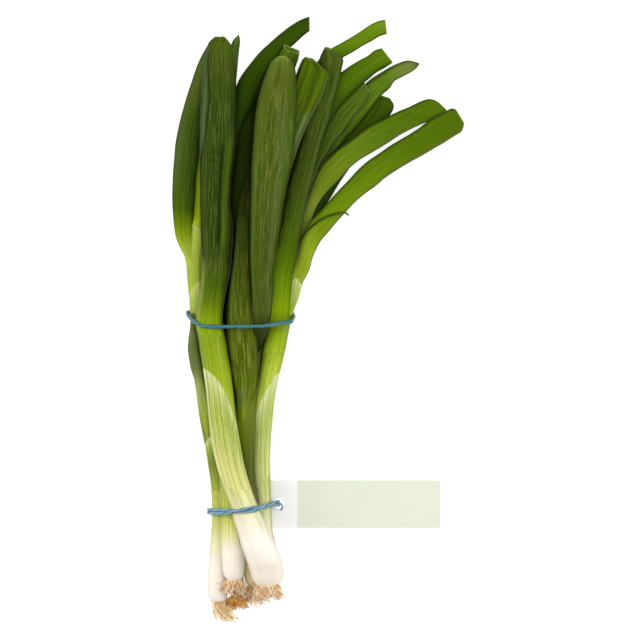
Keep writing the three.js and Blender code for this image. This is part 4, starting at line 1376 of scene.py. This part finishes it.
@dataclass
class Studio:
    """The plain pale floor, the soft lamps and the camera that looks straight down."""

    lamps: tuple[Light, ...]
    view_centre: tuple[float, float] = (0.0009, 0.0004)
    view_width: float = 0.32
    camera_height: float = 8.0
    focus_height: float = 0.012
    floor_size: float = 6.0
    floor_colour: str = "#c8c8c6"
    floor_glow: float = 0.72
    ambient: float = 0.2

    def floor(self) -> None:
        """Lays the floor: a square of milky light table, lit from inside, just under what lies on it."""
        half = self.floor_size / 2
        mesh = bpy.data.meshes.new("floor")
        corners = [
            (-half, -half, -0.0001), (half, -half, -0.0001), (half, half, -0.0001), (-half, half, -0.0001)
        ]
        mesh.from_pydata(corners, [], [(0, 1, 2, 3)])
        floor = bpy.data.objects.new("floor", mesh)
        bpy.context.scene.collection.objects.link(floor)
        look = {"Base Color": (*linear(self.floor_colour), 1), "Specular IOR Level": 0.1}
        look |= {"Emission Color": (1.0, 1.0, 1.0, 1.0), "Emission Strength": self.floor_glow}
        mesh.materials.append(Finish("floor_milky_light_table", roughness=0.9, shader=look).start()[0])

    def light(self) -> None:
        """Hangs the lamps, each aimed at the bunch, and a pale ambient."""
        for lamp in self.lamps:
            data = bpy.data.lights.new(lamp.name, "AREA")
            data.shape = "RECTANGLE"
            data.size, data.size_y = lamp.size
            data.energy = lamp.power
            data.color = linear(lamp.colour)
            thing = bpy.data.objects.new(lamp.name, data)
            thing.location = lamp.place
            thing.rotation_mode = "QUATERNION"
            thing.rotation_quaternion = (-Vector(lamp.place)).to_track_quat("-Z", "Y")
            thing.visible_camera = False
            bpy.context.scene.collection.objects.link(thing)
        world = bpy.data.worlds.new("pale_room")
        world.use_nodes = True
        world.node_tree.nodes["Background"].inputs[0].default_value = (1, 1, 1, 1)
        world.node_tree.nodes["Background"].inputs[1].default_value = self.ambient
        bpy.context.scene.world = world

    def camera(self) -> None:
        """Sets the camera: a long lens, straight above, with the leaf ends at the top of the frame."""
        data = bpy.data.cameras.new("camera")
        data.sensor_width = 36.0
        distance = self.camera_height - self.focus_height
        data.lens = data.sensor_width * distance / self.view_width
        data.clip_start, data.clip_end = 0.05, 50.0
        camera = bpy.data.objects.new("camera", data)
        camera.location = (*self.view_centre, self.camera_height)
        bpy.context.scene.collection.objects.link(camera)
        bpy.context.scene.camera = camera
        bpy.context.scene.view_settings.view_transform = "Standard"

    def build(self) -> None:
        """Sets up the whole studio."""
        self.floor()
        self.light()
        self.camera()


# Painted shade: the near-black laid along creases and fold lines, where shade falls in them.
CREASE_SHADE = "#0d1502"
GREY = "#566530"
OLIVE = "#6b7a2a"
LIME_WAX = "#a4ba1c"
PALE_WAX = "#e2e6a4"

LEAVES = (
    LeafPlan(
        "leaf_front_left",
        Slot.LEAF_DARK,
        Patch(
            (
                (0, "#4a5f0c"), (4, "#465608"), (7, "#3f4c0c"), (30, "#2a3706"), (60, "#1d2b01"),
                (95, "#1d2b01"), (112, "#273501"), (124, "#3f5305"), (134, "#5c7208"), (142, "#7c960e"),
                (150, "#8ba61c"), (160, "#8ea820"),
            ),
            (
                Stripe(((8, -0.9), (30, -0.76), (42, -0.82), (56, -0.93)), 0.16, "#56684a", 0.75, 6),
                # Painted shade: a near-black line down the left fold.
                Stripe(
                    ((12, -0.74), (30, -0.52), (42, -0.62), (56, -0.8), (64, -0.97)), 0.06, CREASE_SHADE, 0.85, 5
                ),
                Stripe(((57, 0.62), (77, 0.66), (100, 0.45)), 0.2, "#54700f", 0.8, 12),
                # Painted shade: a near-black line down the right fold.
                Stripe(((57, 0.32), (77, 0.35), (100, 0.12)), 0.1, CREASE_SHADE, 0.95, 8),
                Stripe(((116, -0.95), (148, -0.95)), 0.14, "#9aaa44", 0.7, 8),
            ),
            wax=(
                (0, GREY, 0.1), (6, GREY, 0.7), (60, GREY, 0.8), (105, GREY, 0.8), (124, OLIVE, 0.5),
                (142, LIME_WAX, 0.3), (160, LIME_WAX, 0.3)
            ),
            lip="#5f6f28",
            inner="#526417",
            veins=((0, 1.0), (120, 0.9), (145, 0.7)),
            edge=((0, 0.5), (110, 0.45), (122, 0.1)),
        ),
        seed=3,
        slant=3.0,
        # The creases' near-black lines are painted shade.
        creases=(
            Crease(((56, 0.34), (77, 0.37), (100, 0.13)), 0.13, CREASE_SHADE, 0.9, 10, depth=0.8, step=1.0),
            Crease(
                ((12, -0.74), (30, -0.52), (42, -0.62), (56, -0.8), (64, -0.97)), 0.08, CREASE_SHADE, 0.6, 8,
                depth=0.5, step=0.3
            ),
            Crease(((8, 0.74), (36, 0.78)), 0.05, CREASE_SHADE, 0.4, 6, depth=0.35),
        ),
        host="onion_front_shank",
        graft=(152, 169),
        grow=0.12,
        rough=0.3,
        columns=200,
    ),
    LeafPlan(
        "leaf_front_point",
        Slot.LEAF_DARK,
        # Painted shade: near-black toward the base, where the leaf lies among the others.
        Patch(((0, "#4f6413"), (20, "#435a10"), (50, "#2c3d0a"), (140, "#141e05"))),
        tip=Tip.CLOSED,
        seed=5,
    ),
    LeafPlan(
        "leaf_left_outer",
        Slot.LEAF_DARK,
        Patch(
            (
                (0, "#6a7638"), (12, "#566220"), (40, "#36450d"), (70, "#354a07"), (84, "#3e5302"),
                (92, "#5c7502"), (98, "#81970f"), (104, "#9eb138"), (112, "#a8ba46"), (140, "#a5b741"),
            ),
            (
                # Paler left side: grey bloom, with a painted reflection of the light from the left along its
                # edge.
                Stripe(((0, -0.75), (70, -0.8)), 0.3, "#56653a", 0.45),
                # Painted shade: the right side, dark where it folds in beside the front leaf.
                Stripe(((0, 0.72), (60, 0.6), (84, 0.62)), 0.4, "#213702", 0.95),
            ),
            wax=((0, GREY, 0.6), (70, GREY, 0.4), (90, OLIVE, 0.2), (113, LIME_WAX, 0.3)),
            veins=((0, 0.8), (80, 0.5), (113, 0.6)),
            edge=((0, 0.5), (88, 0.45), (102, 0.05)),
        ),
        tip=Tip.CLOSED,
        seed=7,
        wider=(
            (85, 0, 0), (95, 0, 0.8), (112, 0, 1.2), (117, 0.5, 1.2), (122, 1.2, 1.2), (127, 1.8, 1.2),
            (131, 0.9, 1.2), (137, 0.3, 1.2)
        ),
        host="onion_left_shank",
        graft=(118, 142),
        grow=-0.05,
    ),
    LeafPlan(
        "leaf_lime_inner",
        Slot.LEAF_LIME,
        Patch(
            ((0, "#6c8a0a"), (20, "#84a20a"), (40, "#9cb410"), (52, "#a8bf20"), (60, "#a8bc38")),
            wax=((0, LIME_WAX, 0.2),),
            veins=((0, 0.4),),
            edge=((0, 0.1),),
        ),
        tip=Tip.CLOSED,
        seed=9,
        wider=((55, 0.4, 0.0), (110, 1.1, 0.2)),
        host="onion_left_shank",
        graft=(104, 122),
        grow=0.0,
    ),
    LeafPlan(
        "leaf_left_small",
        Slot.LEAF_DARK,
        Patch(
            (
                (0, "#6d7644"), (18, "#646e3c"), (28, "#707a44"), (36, "#a3ad66"), (44, "#a6b150"),
                (55, "#9ba842")
            ),
            veins=((0, 0.5),), edge=((0, 0.3),)
        ),
        tip=Tip.CLOSED,
        seed=11,
        host="onion_left_shank",
        graft=(190, 212),
        grow=0.0,
    ),
    LeafPlan(
        "leaf_dark_middle",
        Slot.LEAF_DARK,
        # Painted shade: near-black nearly all along, with dark wax and inside, for the deep gap that this
        # leaf lies in.
        Patch(
            ((0, "#33450a"), (22, "#0f1702"), (50, "#080d01"), (130, "#060a01")), wax=((0, "#1d2808", 0.25),),
            inner="#1a2604"
        ),
        seed=13,
        host="onion_middle_shank",
        graft=(160, 178),
        grow=-0.2,
        wider=((40, 0.0, 0.0), (70, 1.0, 0.5), (95, 2.0, 1.2), (165, 1.5, 1.5)),
    ),
    LeafPlan(
        "leaf_high_long",
        Slot.LEAF_MID,
        Patch(
            (
                (0, "#223701"), (10, "#253c01"), (24, "#273d01"), (45, "#223900"), (60, "#1d3602"),
                # Painted shade: near-black from 75 mm on, where the leaf runs down into the gap between the
                # front leaves.
                (75, "#152102"), (150, "#0a1101")
            ),
            (
                Stripe(((0, 0.7), (80, 0.7)), 0.45, "#29420a", 0.75),
                # Painted highlight: a pale rim along the left edge.
                Stripe(((8, -0.93), (50, -0.93)), 0.1, "#6d7f40", 0.45),
            ),
            wax=((0, "#404f0a", 0.3), (50, "#354d06", 0.3)),
            inner="#2c4404",
        ),
        seed=15,
    ),
    LeafPlan(
        "leaf_high_middle",
        Slot.LEAF_DARK,
        Patch(
            (
                # Painted shade: near-black from 40 mm on, where the leaf lies under the others.
                (0, "#556b17"), (10, "#42590d"), (20, "#2b3c08"), (40, "#0d1402"), (75, "#0b1102"),
                (95, "#141d04"), (135, "#131c03")
            ),
            (Stripe(((0, 0.6), (20, 0.6)), 0.4, "#2c4406", 0.7),),
            wax=((0, GREY, 0.4), (20, "#39481c", 0.4)),
            inner="#4a6410",
        ),
        seed=17,
        host="onion_rim_shank",
        graft=(152, 178),
        grow=-0.3,
        slant=2.0,
    ),
    LeafPlan(
        "leaf_pale_rim",
        Slot.LEAF_DARK,
        Patch(
            (
                # Painted shade: near-black over the first 40 mm, where the leaf lies deep between the others.
                (0, "#141c02"), (14, "#1a2302"), (40, "#1c2502"), (62, "#384405"), (85, "#4f5f0a"),
                (101, "#4d5e0b"), (112, "#566805"), (120, "#697a10"), (140, "#6f810e"),
            ),
            (
                # Painted shade: dark lines along both edges, where the neighbouring leaves meet it.
                Stripe(((50, -0.93), (118, -0.93)), 0.12, "#141e05", 0.75),
                Stripe(((10, 0.9), (70, 0.92)), 0.1, "#141e05", 0.7),
                Stripe(((70, 0.93), (76, 0.93)), 0.08, "#a2ad78", 0.8, 2),
                Stripe(((112, -0.1), (117, -0.1)), 0.4, "#74835a", 0.45, 5),
            ),
            wax=(
                (0, "#30370d", 0.6), (30, "#3c4416", 0.85), (100, "#828c36", 0.8), (118, "#99a63a", 0.5),
                (140, LIME_WAX, 0.3)
            ),
        ),
        tip=Tip.CLOSED,
        seed=19,
        host="onion_rim_shank",
        graft=(190, 212),
        grow=0.1,
        wider=((80, 0.25, 0.35), (140, 0.4, 0.6), (165, 0.5, 1.2), (185, 0.4, 1.6), (205, 0.3, 2.0)),
    ),
    LeafPlan(
        "leaf_front_middle",
        Slot.LEAF_DARK,
        Patch(
            (
                (0, "#808d34"), (3, "#5c6826"), (12, "#49540f"), (40, "#3f4d0c"), (85, "#374608"),
                # Painted shade: darker over the last 20 mm, where the leaf goes in between the stems.
                (115, "#38460a"), (132, "#36420f"), (142, "#222c08"), (150, "#172004"),
            ),
            (
                Stripe(((12, -0.8), (110, -0.84)), 0.14, "#425f06", 0.6, 12),
                Stripe(((10, 0.78), (60, 0.78)), 0.2, "#334b04", 0.85, 12),
                Stripe(((30, 0.3), (84, 0.55), (128, 0.45)), 0.24, "#58663e", 0.45, 12),
            ),
            wax=(
                (0, OLIVE, 0.4), (8, "#676f31", 0.8), (60, "#677235", 0.85), (128, "#5c672b", 0.9),
                (140, "#414e25", 0.6)
            ),
            lip="#8d9a4c",
            inner="#74862e",
        ),
        seed=21,
        host="onion_rim_shank",
        graft=(160, 196),
        grow=-0.3,
        slant=1.9,
        # The creases' near-black lines are painted shade.
        creases=(
            Crease(((22, 0.62), (60, 0.6)), 0.04, CREASE_SHADE, 0.2, 14, depth=0.25),
            Crease(((60, -0.6), (120, -0.5)), 0.06, CREASE_SHADE, 0.2, 14, depth=0.25),
        ),
        rough=0.3,
        wider=(
            (20, 0.1, 0.1), (100, 0.1, 0.1), (112, 0.1, 0.9), (140, 0.2, 1.4), (160, 0.3, 1.5),
            (168, 0.0, 2.4), (178, 0.0, 2.6), (196, 0.0, 2.0)
        ),
        columns=96,
    ),
    LeafPlan(
        "leaf_wide_behind",
        Slot.LEAF_DARK,
        Patch(
            (
                (0, "#5b6f0a"), (3, "#4e6502"), (25, "#495f02"), (42, "#455504"), (60, "#34440a"),
                # Painted shade: near-black from 76 mm on, where the leaf lies behind the others.
                (76, "#1c2705"), (140, "#0d1506")
            ),
            (
                # Painted highlight: a pale strip along the right edge.
                Stripe(((2, 0.95), (60, 0.95)), 0.1, "#76855c", 0.7),
                Stripe(((4, 0.1), (56, 0.1)), 0.45, "#384a06", 0.6),
                Stripe(((34, 0.6), (62, 0.6)), 0.4, "#6a7a52", 0.7),
                # Painted shade: a darker strip along the left edge.
                Stripe(((2, -0.92), (60, -0.92)), 0.12, "#263806", 0.8),
            ),
            wax=((0, "#62720f", 0.3), (30, "#6a721d", 0.4), (60, GREY, 0.7), (80, "#334014", 0.5)),
            lip="#8f9c50",
        ),
        seed=23,
        host="onion_back_shank",
        graft=(152, 176),
        grow=-0.3,
        slant=1.0,
        columns=96,
    ),
    LeafPlan(
        "leaf_front_right",
        Slot.LEAF_DARK,
        Patch(
            (
                (0, "#495814"), (6, "#3e4c09"), (40, "#2f3c07"), (70, "#364407"), (88, "#394a04"),
                (100, "#3e5302"), (112, "#4e6804"), (124, "#6b8804"), (132, "#7c9904"), (144, "#8aa40c"),
                (157, "#9cb51e"), (175, "#a6be2c"),
            ),
            (
                # Painted light: a paler grey strip down the lit right side.
                Stripe(((6, 0.66), (40, 0.62), (70, 0.68), (88, 0.75)), 0.2, "#4a5a2c", 0.5, 12),
                # Painted shade: the left side near-black, the side in shadow.
                Stripe(((0, -0.85), (100, -0.85)), 0.42, "#141f03", 0.9),
            ),
            wax=(
                (0, GREY, 0.5), (20, GREY, 0.7), (80, "#525f27", 0.6), (105, "#586f14", 0.3),
                (138, LIME_WAX, 0.3), (162, "#bcc95a", 0.45)
            ),
            lip="#818e50",
            veins=((0, 1.0), (100, 0.7), (140, 0.6)),
        ),
        seed=25,
        slant=1.2,
        # The crease's near-black line is painted shade.
        creases=(Crease(((8, 0.3), (40, 0.35), (70, 0.45)), 0.06, CREASE_SHADE, 0.35, 14, depth=0.4, step=0.3),),
        host="onion_back_shank",
        graft=(158, 180),
        grow=0.05,
        wider=((108, 0.0, 0.0), (118, 1.2, 0.0), (135, 1.6, 0.0), (152, 0.8, 0.0), (162, 0.2, 0.0)),
        columns=96,
    ),
    LeafPlan(
        "leaf_upper_high",
        Slot.LEAF_LIGHT,
        Patch(
            (
                # Painted shade: darker from 32 mm and near-black from 90 mm on, where the leaf lies under the
                # others.
                (0, "#66801c"), (6, "#5f7e06"), (20, "#5c7a04"), (32, "#4c6a04"), (50, "#2a3c06"),
                (90, "#141e04"), (165, "#0e1502")
            ),
            # Painted shade: a darker strip down the right side.
            (Stripe(((0, 0.9), (30, 0.9)), 0.25, "#3f5c04", 0.7),),
            wax=((0, "#90a440", 0.25), (40, "#3f5210", 0.3)),
            veins=((0, 0.35),),
        ),
        seed=27,
        host="onion_back_shank",
        graft=(152, 172),
        grow=-0.4,
    ),
    LeafPlan(
        "leaf_upper_low",
        Slot.LEAF_MID,
        Patch(
            (
                # Painted shade: near-black from 55 mm on, where the leaf lies under the others.
                (0, "#557106"), (8, "#4c6802"), (25, "#456204"), (38, "#2e4506"), (55, "#1b2804"),
                (165, "#0d1401")
            ),
            # Painted shade: a darker strip down the right side.
            (Stripe(((4, 0.85), (40, 0.85)), 0.3, "#2c4406", 0.8),),
            wax=((0, "#6b811e", 0.3), (40, "#38490a", 0.3)),
            veins=((0, 0.4),),
        ),
        seed=29,
        host="onion_back_shank",
        graft=(152, 170),
        grow=-0.5,
    ),
    LeafPlan(
        "leaf_upper_pointed",
        Slot.LEAF_DARK,
        Patch(
            (
                # Painted shade: near-black toward the base, where the leaf lies under the others.
                (0, "#4c6212"), (12, "#4a600e"), (34, "#43560c"), (55, "#37480a"), (75, "#222f06"),
                (130, "#10180a")
            ),
            # Painted highlight: a pale strip along the right edge.
            (Stripe(((6, 0.95), (50, 0.95)), 0.1, "#6f7f50", 0.6),),
            wax=((0, "#6a7a38", 0.5), (60, "#4d5c24", 0.5)),
        ),
        seed=31,
        host="onion_back_shank",
        graft=(137, 160),
        grow=-0.5,
    ),
    LeafPlan(
        "leaf_right_tip",
        Slot.LEAF_MID,
        Patch(
            (
                (0, "#415118"), (5, "#687a30"), (13, "#627924"), (18, "#4f6d0a"), (30, "#516c10"),
                # Painted shade: near-black from 58 mm on, where the leaf lies under the others.
                (42, "#425c08"), (58, "#20300a"), (150, "#0e1502")
            ),
            wax=((0, "#889650", 0.5), (30, "#778836", 0.4)),
        ),
        seed=33,
        host="onion_back_shank",
        graft=(137, 160),
        grow=-0.5,
        tip=Tip.CLOSED,
    ),
    LeafPlan(
        "leaf_right_dark",
        Slot.LEAF_DARK,
        Patch(
            # Painted shade: dark all along and near-black toward the base, for the shadow this leaf lies in.
            ((0, "#324802"), (8, "#293c01"), (30, "#203102"), (60, "#141f06"), (130, "#0b1101")),
            wax=((0, "#43540d", 0.3),)
        ),
        seed=35,
        host="onion_back_shank",
        graft=(137, 160),
        grow=-0.5,
    ),
    LeafPlan(
        "leaf_right_back",
        Slot.LEAF_DARK,
        # Painted shade: near-black all along, for the shadow behind the other leaves.
        Patch(((0, "#2a3c0a"), (20, "#1b2906"), (60, "#141e05")), wax=((0, "#39491a", 0.4),)),
        seed=37,
        host="onion_back_shank",
        graft=(137, 160),
        grow=-0.5,
        tip=Tip.CLOSED,
    ),
    LeafPlan(
        "leaf_right_long",
        Slot.LEAF_MID,
        Patch(
            (
                (0, "#4c6707"), (6, "#496304"), (30, "#4b6804"), (55, "#647d0a"), (75, "#71860d"),
                # Painted shade: darker from 105 mm on, where the leaf goes in under the front leaves.
                (90, "#869833"), (105, "#6a7a23"), (125, "#3b4c0c"), (150, "#28340a"),
            ),
            (
                # Painted shade: a darker strip along the left edge; painted highlight: a pale rim along the
                # right edge.
                Stripe(((4, -0.9), (80, -0.9)), 0.14, "#39540a", 0.55),
                Stripe(((0, 0.93), (90, 0.93)), 0.1, "#7d8d50", 0.6),
            ),
            wax=((0, "#688114", 0.25), (80, "#949c50", 0.35)),
            veins=((0, 0.35), (80, 0.5)),
        ),
        seed=39,
        host="onion_back_shank",
        graft=(137, 160),
        grow=-0.5,
    ),
    LeafPlan(
        "leaf_right_lowest",
        Slot.LEAF_MID,
        Patch(
            (
                (0, "#475f06"), (5, "#465f02"), (30, "#4d6802"), (55, "#597602"), (75, "#627f02"),
                (90, "#6e880a"), (103, "#96ac24"), (120, "#a0b631"), (140, "#a4ba35"),
            ),
            (
                # Painted shade: a darker strip along the left edge; painted highlight: a pale rim along the
                # right edge.
                Stripe(((4, -0.88), (85, -0.84)), 0.16, "#3c5804", 0.6),
                Stripe(((0, 0.93), (105, 0.93)), 0.11, "#7f9048", 0.65),
            ),
            wax=((0, "#688014", 0.25), (80, "#92a42b", 0.3)),
            veins=((0, 0.3), (90, 0.5)),
        ),
        seed=41,
        host="onion_back_shank",
        graft=(132, 150),
        grow=0.0,
    ),
    LeafPlan(
        "leaf_right_curl",
        Slot.LEAF_DARK,
        Patch(((0, "#43580c"), (8, "#33480a"), (30, "#2f440a")), wax=((0, "#556a18", 0.1),)),
        seed=43,
        tip=Tip.CLOSED,
        columns=24,
        rough=0.02,
    ),
)

STEMS = (
    StemPlan(
        "front",
        Slot.SHANK_GREEN,
        Patch(
            (
                (0, "#768f02"), (12, "#799201"), (27, "#859d03"), (40, "#9aac27"), (50, "#a1ae2f"),
                (64, "#c6c956"), (74, "#d4d26c"), (84, "#dedc92"), (93, "#e6dfb8"), (104, "#f0e8d8"),
                (112, "#f5ede5"), (130, "#f4e8d8"),
            ),
            (
                Stripe(((20, -0.62), (80, -0.5)), 0.08, "#8fa516", 0.5),
                Stripe(((24, -0.2), (90, -0.1)), 0.07, "#9bb024", 0.45),
                Stripe(((10, 0.35), (70, 0.3)), 0.09, "#c6d05a", 0.4),
                Stripe(((30, 0.72), (100, 0.66)), 0.1, "#8fa51c", 0.4),
            ),
            wax=((0, LIME_WAX, 0.3), (30, "#c2cf2e", 0.4), (60, "#d8dd8c", 0.5), (100, "#f6f0e6", 0.3)),
            veins=((0, 0.7), (30, 0.9), (84, 0.9), (96, 0.35), (110, 0.08)),
            edge=((0, 0.2),),
        ),
        seed=51,
    ),
    StemPlan(
        "back",
        Slot.SHANK_GREEN,
        Patch(
            (
                (0, "#9cb03a"), (10, "#8fa820"), (24, "#8fa80e"), (36, "#9cb318"), (48, "#abbe2a"),
                (60, "#bcc946"), (72, "#bcc658"), (90, "#bfc660"), (104, "#c6ca78"), (114, "#d6d6a2"),
                (126, "#e6e1c6"), (140, "#ece3d8"),
            ),
            (
                Stripe(((20, 0.9), (130, 0.9)), 0.16, "#7d8d1c", 0.5),
                Stripe(((20, -0.85), (110, -0.85)), 0.2, "#7b8c16", 0.6),
                Stripe(((60, 0.2), (110, 0.25)), 0.1, "#8fa318", 0.45),
            ),
            wax=(
                (0, LIME_WAX, 0.3), (24, LIME_WAX, 0.3), (48, "#d2d970", 0.5), (80, PALE_WAX, 0.6),
                (126, "#f6f1dc", 0.3)
            ),
            veins=((0, 0.6), (104, 0.9), (126, 0.2), (140, 0.05)),
            edge=((0, 0.2),),
        ),
        seed=53,
        wider=((150, 0.0, 0.0), (157, 0.0, 0.9), (163, 0.0, 0.5), (172, 0.0, 0.0)),
    ),
    StemPlan(
        "left",
        Slot.SHANK_GREEN,
        Patch(
            (
                (0, "#94aa24"), (8, "#9eb032"), (26, "#a3b63a"), (44, "#9cb02c"), (56, "#758a03"),
                (75, "#7f900d"), (88, "#9ba842"), (96, "#8f9d22"), (104, "#6f7f08"), (114, "#7a8a0a"),
                (128, "#a5ad2c"), (138, "#b3b83c"), (148, "#c8ca60"), (160, "#e6e2b6"), (170, "#f1e9df"),
                (190, "#f4ece4"),
            ),
            (
                Stripe(((80, 0.3), (140, 0.2)), 0.16, "#7a8a0c", 0.5),
                Stripe(((90, -0.5), (150, -0.5)), 0.12, "#b9bf50", 0.4),
            ),
            wax=(
                (0, LIME_WAX, 0.35), (50, LIME_WAX, 0.3), (100, "#c2c968", 0.4), (140, PALE_WAX, 0.5),
                (165, "#f4ede4", 0.3)
            ),
            veins=((0, 0.3), (60, 0.8), (144, 0.8), (158, 0.2), (170, 0.05)),
            edge=((0, 0.2),),
        ),
        seed=55,
    ),
    StemPlan(
        "short",
        Slot.SHANK_PALE,
        Patch(
            (
                (0, "#39460f"), (50, "#6c7a14"), (78, "#8c9a1c"), (90, "#b2b83c"), (98, "#cccc5e"),
                (106, "#e6e0a8"), (112, "#f3eadc"), (124, "#f5ece2"),
            ),
            wax=((0, LIME_WAX, 0.3), (90, PALE_WAX, 0.5), (112, "#f6f0e8", 0.3)),
            veins=((0, 0.8), (98, 0.7), (112, 0.1)),
            edge=((0, 0.2),),
        ),
        seed=57,
    ),
    StemPlan(
        "rim",
        Slot.SHANK_PALE,
        Patch(
            (
                # Painted shade: near-black over the top 24 mm, where the stem lies under the leaves.
                (0, "#0f1703"), (24, "#1d2705"), (34, "#74841a"), (44, "#76861c"), (56, "#617107"),
                # Painted light: the bulb's pale yellows from 104 mm on are raised to lift the shade it lies
                # in between its neighbours.
                (68, "#445003"), (80, "#3f4803"), (92, "#a3a825"), (104, "#ede478"), (116, "#fbeeaa"),
                (129, "#fdeec6"),
            ),
            (Stripe(((36, 0.6), (84, 0.6)), 0.35, "#3e4a07", 0.5),),
            wax=((0, "#2a360c", 0.2), (30, "#4a5618", 0.3), (60, "#647309", 0.25), (104, "#cfc688", 0.4)),
            edge=((0, 0.2),),
        ),
        seed=59,
        wider=(
            (163, 0.0, 2.5), (172, 0.0, 2.3), (190, 0.0, 2.2), (212, 0.0, 2.0), (225, 0.0, 1.2),
            (240, 0.0, 0.0)
        ),
    ),
    StemPlan(
        "middle",
        Slot.SHANK_PALE,
        Patch(
            (
                # Painted shade: near-black at the top, deep under the other stems, lightening toward the
                # bulb.
                (0, "#1d2806"), (50, "#3a4210"), (78, "#55580f"), (96, "#8a8426"), (112, "#b39a4c"),
                (124, "#b98f48"), (136, "#a5762e")
            ),
            wax=((0, "#5c6a24", 0.3), (100, "#cbb468", 0.4)),
            edge=((0, 0.2),),
        ),
        seed=61,
        wider=((163, 3.3, 0.0), (176, 3.0, 0.0), (192, 1.0, 0.0), (200, 0.0, 0.0)),
    ),
)

SHEATHS = (
    SheathPlan(
        "onion_front_sheath", "onion_front_shank", Slot.SHANK_GREEN,
        ((-0.99, 184), (-0.8, 184.4), (-0.3, 187.5), (0.2, 193), (0.55, 200), (0.8, 207), (0.99, 213)),
        252, ("#c6cb97", "#bac26e", "#abb238", "#e4dc96"),
        streaks=0.55,
    ),
    SheathPlan(
        "onion_back_sheath", "onion_back_shank", Slot.SHANK_GREEN,
        ((-0.99, 212), (-0.7, 208), (-0.2, 199), (0.3, 191.5), (0.7, 186.8), (0.99, 185.6)),
        252, ("#d3daa6", "#c8d08a", "#b0bc4e", "#d3d49c"),
        streaks=0.4,
    ),
    SheathPlan(
        "onion_back_collar", "onion_back_shank", Slot.SHANK_GREEN,
        ((-0.15, 143.5), (0.1, 140.6), (0.3, 138.8), (0.6, 139.6), (0.85, 141), (0.99, 142)),
        160, ("#cdd69a", "#b4c06a", "#a5b548", "#849e0c"),
    ),
    SheathPlan(
        "onion_left_collar", "onion_left_shank", Slot.SHANK_GREEN,
        ((-0.99, 112.6), (-0.5, 112.8), (-0.1, 113.2), (0.3, 114.4), (0.7, 116), (0.99, 117.4)),
        158, ("#aab95a", "#9fb03e", "#9dae34", "#a0b236"),
        lift=0.14,
        film=0.08,
    ),
    SheathPlan(
        "onion_left_sheath", "onion_left_shank", Slot.SHANK_GREEN,
        ((-0.99, 149), (-0.5, 144.4), (0.0, 141.6), (0.5, 140.4), (0.99, 140)),
        162, ("#c2cd80", "#adbb54", "#9db03a", "#849810"),
        lift=0.2,
    ),
    SheathPlan(
        "onion_left_low_sheath", "onion_left_shank", Slot.SHANK_GREEN,
        ((-0.99, 222.5), (-0.5, 220), (0.0, 217.6), (0.6, 215.6), (0.99, 214.6)),
        254, ("#cfd29a", "#a8b048", "#748406", "#b4b748"),
        streaks=0.4,
        film=0.12,
        lift=0.2,
    ),
)

TUFTS = (
    TuftPlan(
        "left", Slot.ROOT_TAN, 80, (5, 12), (6.0, 1.0), 3,
        fan=0.25, colours=("#fff4cc", "#cc9848"), curl=0.9, thick=(0.24, 0.46),
    ),
    TuftPlan(
        "middle", Slot.ROOT_BROWN, 200, (3, 9), (-1.4, 0.8), 11,
        fan=1.6, colours=("#f8bc60", "#96581a"), plate="#c08a3c", curl=3.0,
    ),
    TuftPlan(
        "back", Slot.ROOT_TAN, 70, (3, 9), (1.5, 0.9), 59,
        fan=0.9, colours=("#ffedc6", "#c4853c"), curl=2.2,
    ),
    TuftPlan(
        "rim", Slot.ROOT_TAN, 150, (4, 13), (0.8, 0.9), 31,
        fan=1.2, colours=("#ffeec8", "#bc7c36"), curl=2.6,
    ),
    TuftPlan(
        "short", Slot.ROOT_TAN, 190, (2.5, 9.5), (-0.2, 0.85), 47,
        fan=0.85, colours=("#fff2d4", "#d0925a"), curl=2.2,
    ),
    TuftPlan(
        "front", Slot.ROOT_TAN, 200, (2.5, 9.5), (0.8, 0.85), 71,
        fan=0.5, colours=("#fff0d0", "#c8864a"), curl=2.4,
    ),
)

LAMPS = (
    Light("softbox_left", (-1.9, 0.4, 1.35), (1.6, 2.0), 33.0),
    Light("softbox_right", (1.9, 0.1, 1.35), (1.6, 2.0), 31.0),
    Light("softbox_above", (0.0, 0.3, 2.4), (2.2, 1.8), 30.0),
)


def main() -> None:
    """Builds the bunch, piece by piece, and the studio round it."""
    logging.basicConfig(level=logging.INFO, format="%(message)s")
    Studio(LAMPS).build()
    leaf_skin, stem_skin = LEAF_SKIN.build(), STEM_SKIN.build()
    Stems(STEMS).build(stem_skin)
    Leaves(LEAVES).build(leaf_skin)
    Sheaths(SHEATHS).build(stem_skin)
    Roots(TUFTS).build(ROOT_FIBRE.build())
    Bands().build(COVERED_ELASTIC.build(), STRETCHED_ELASTIC.build())
    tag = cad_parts["paper_tag"]
    tag.data.materials[0] = COATED_CARD.build()
    LOG.info("paper_tag: kept, in coated card")


if __name__ == "__main__":
    main()
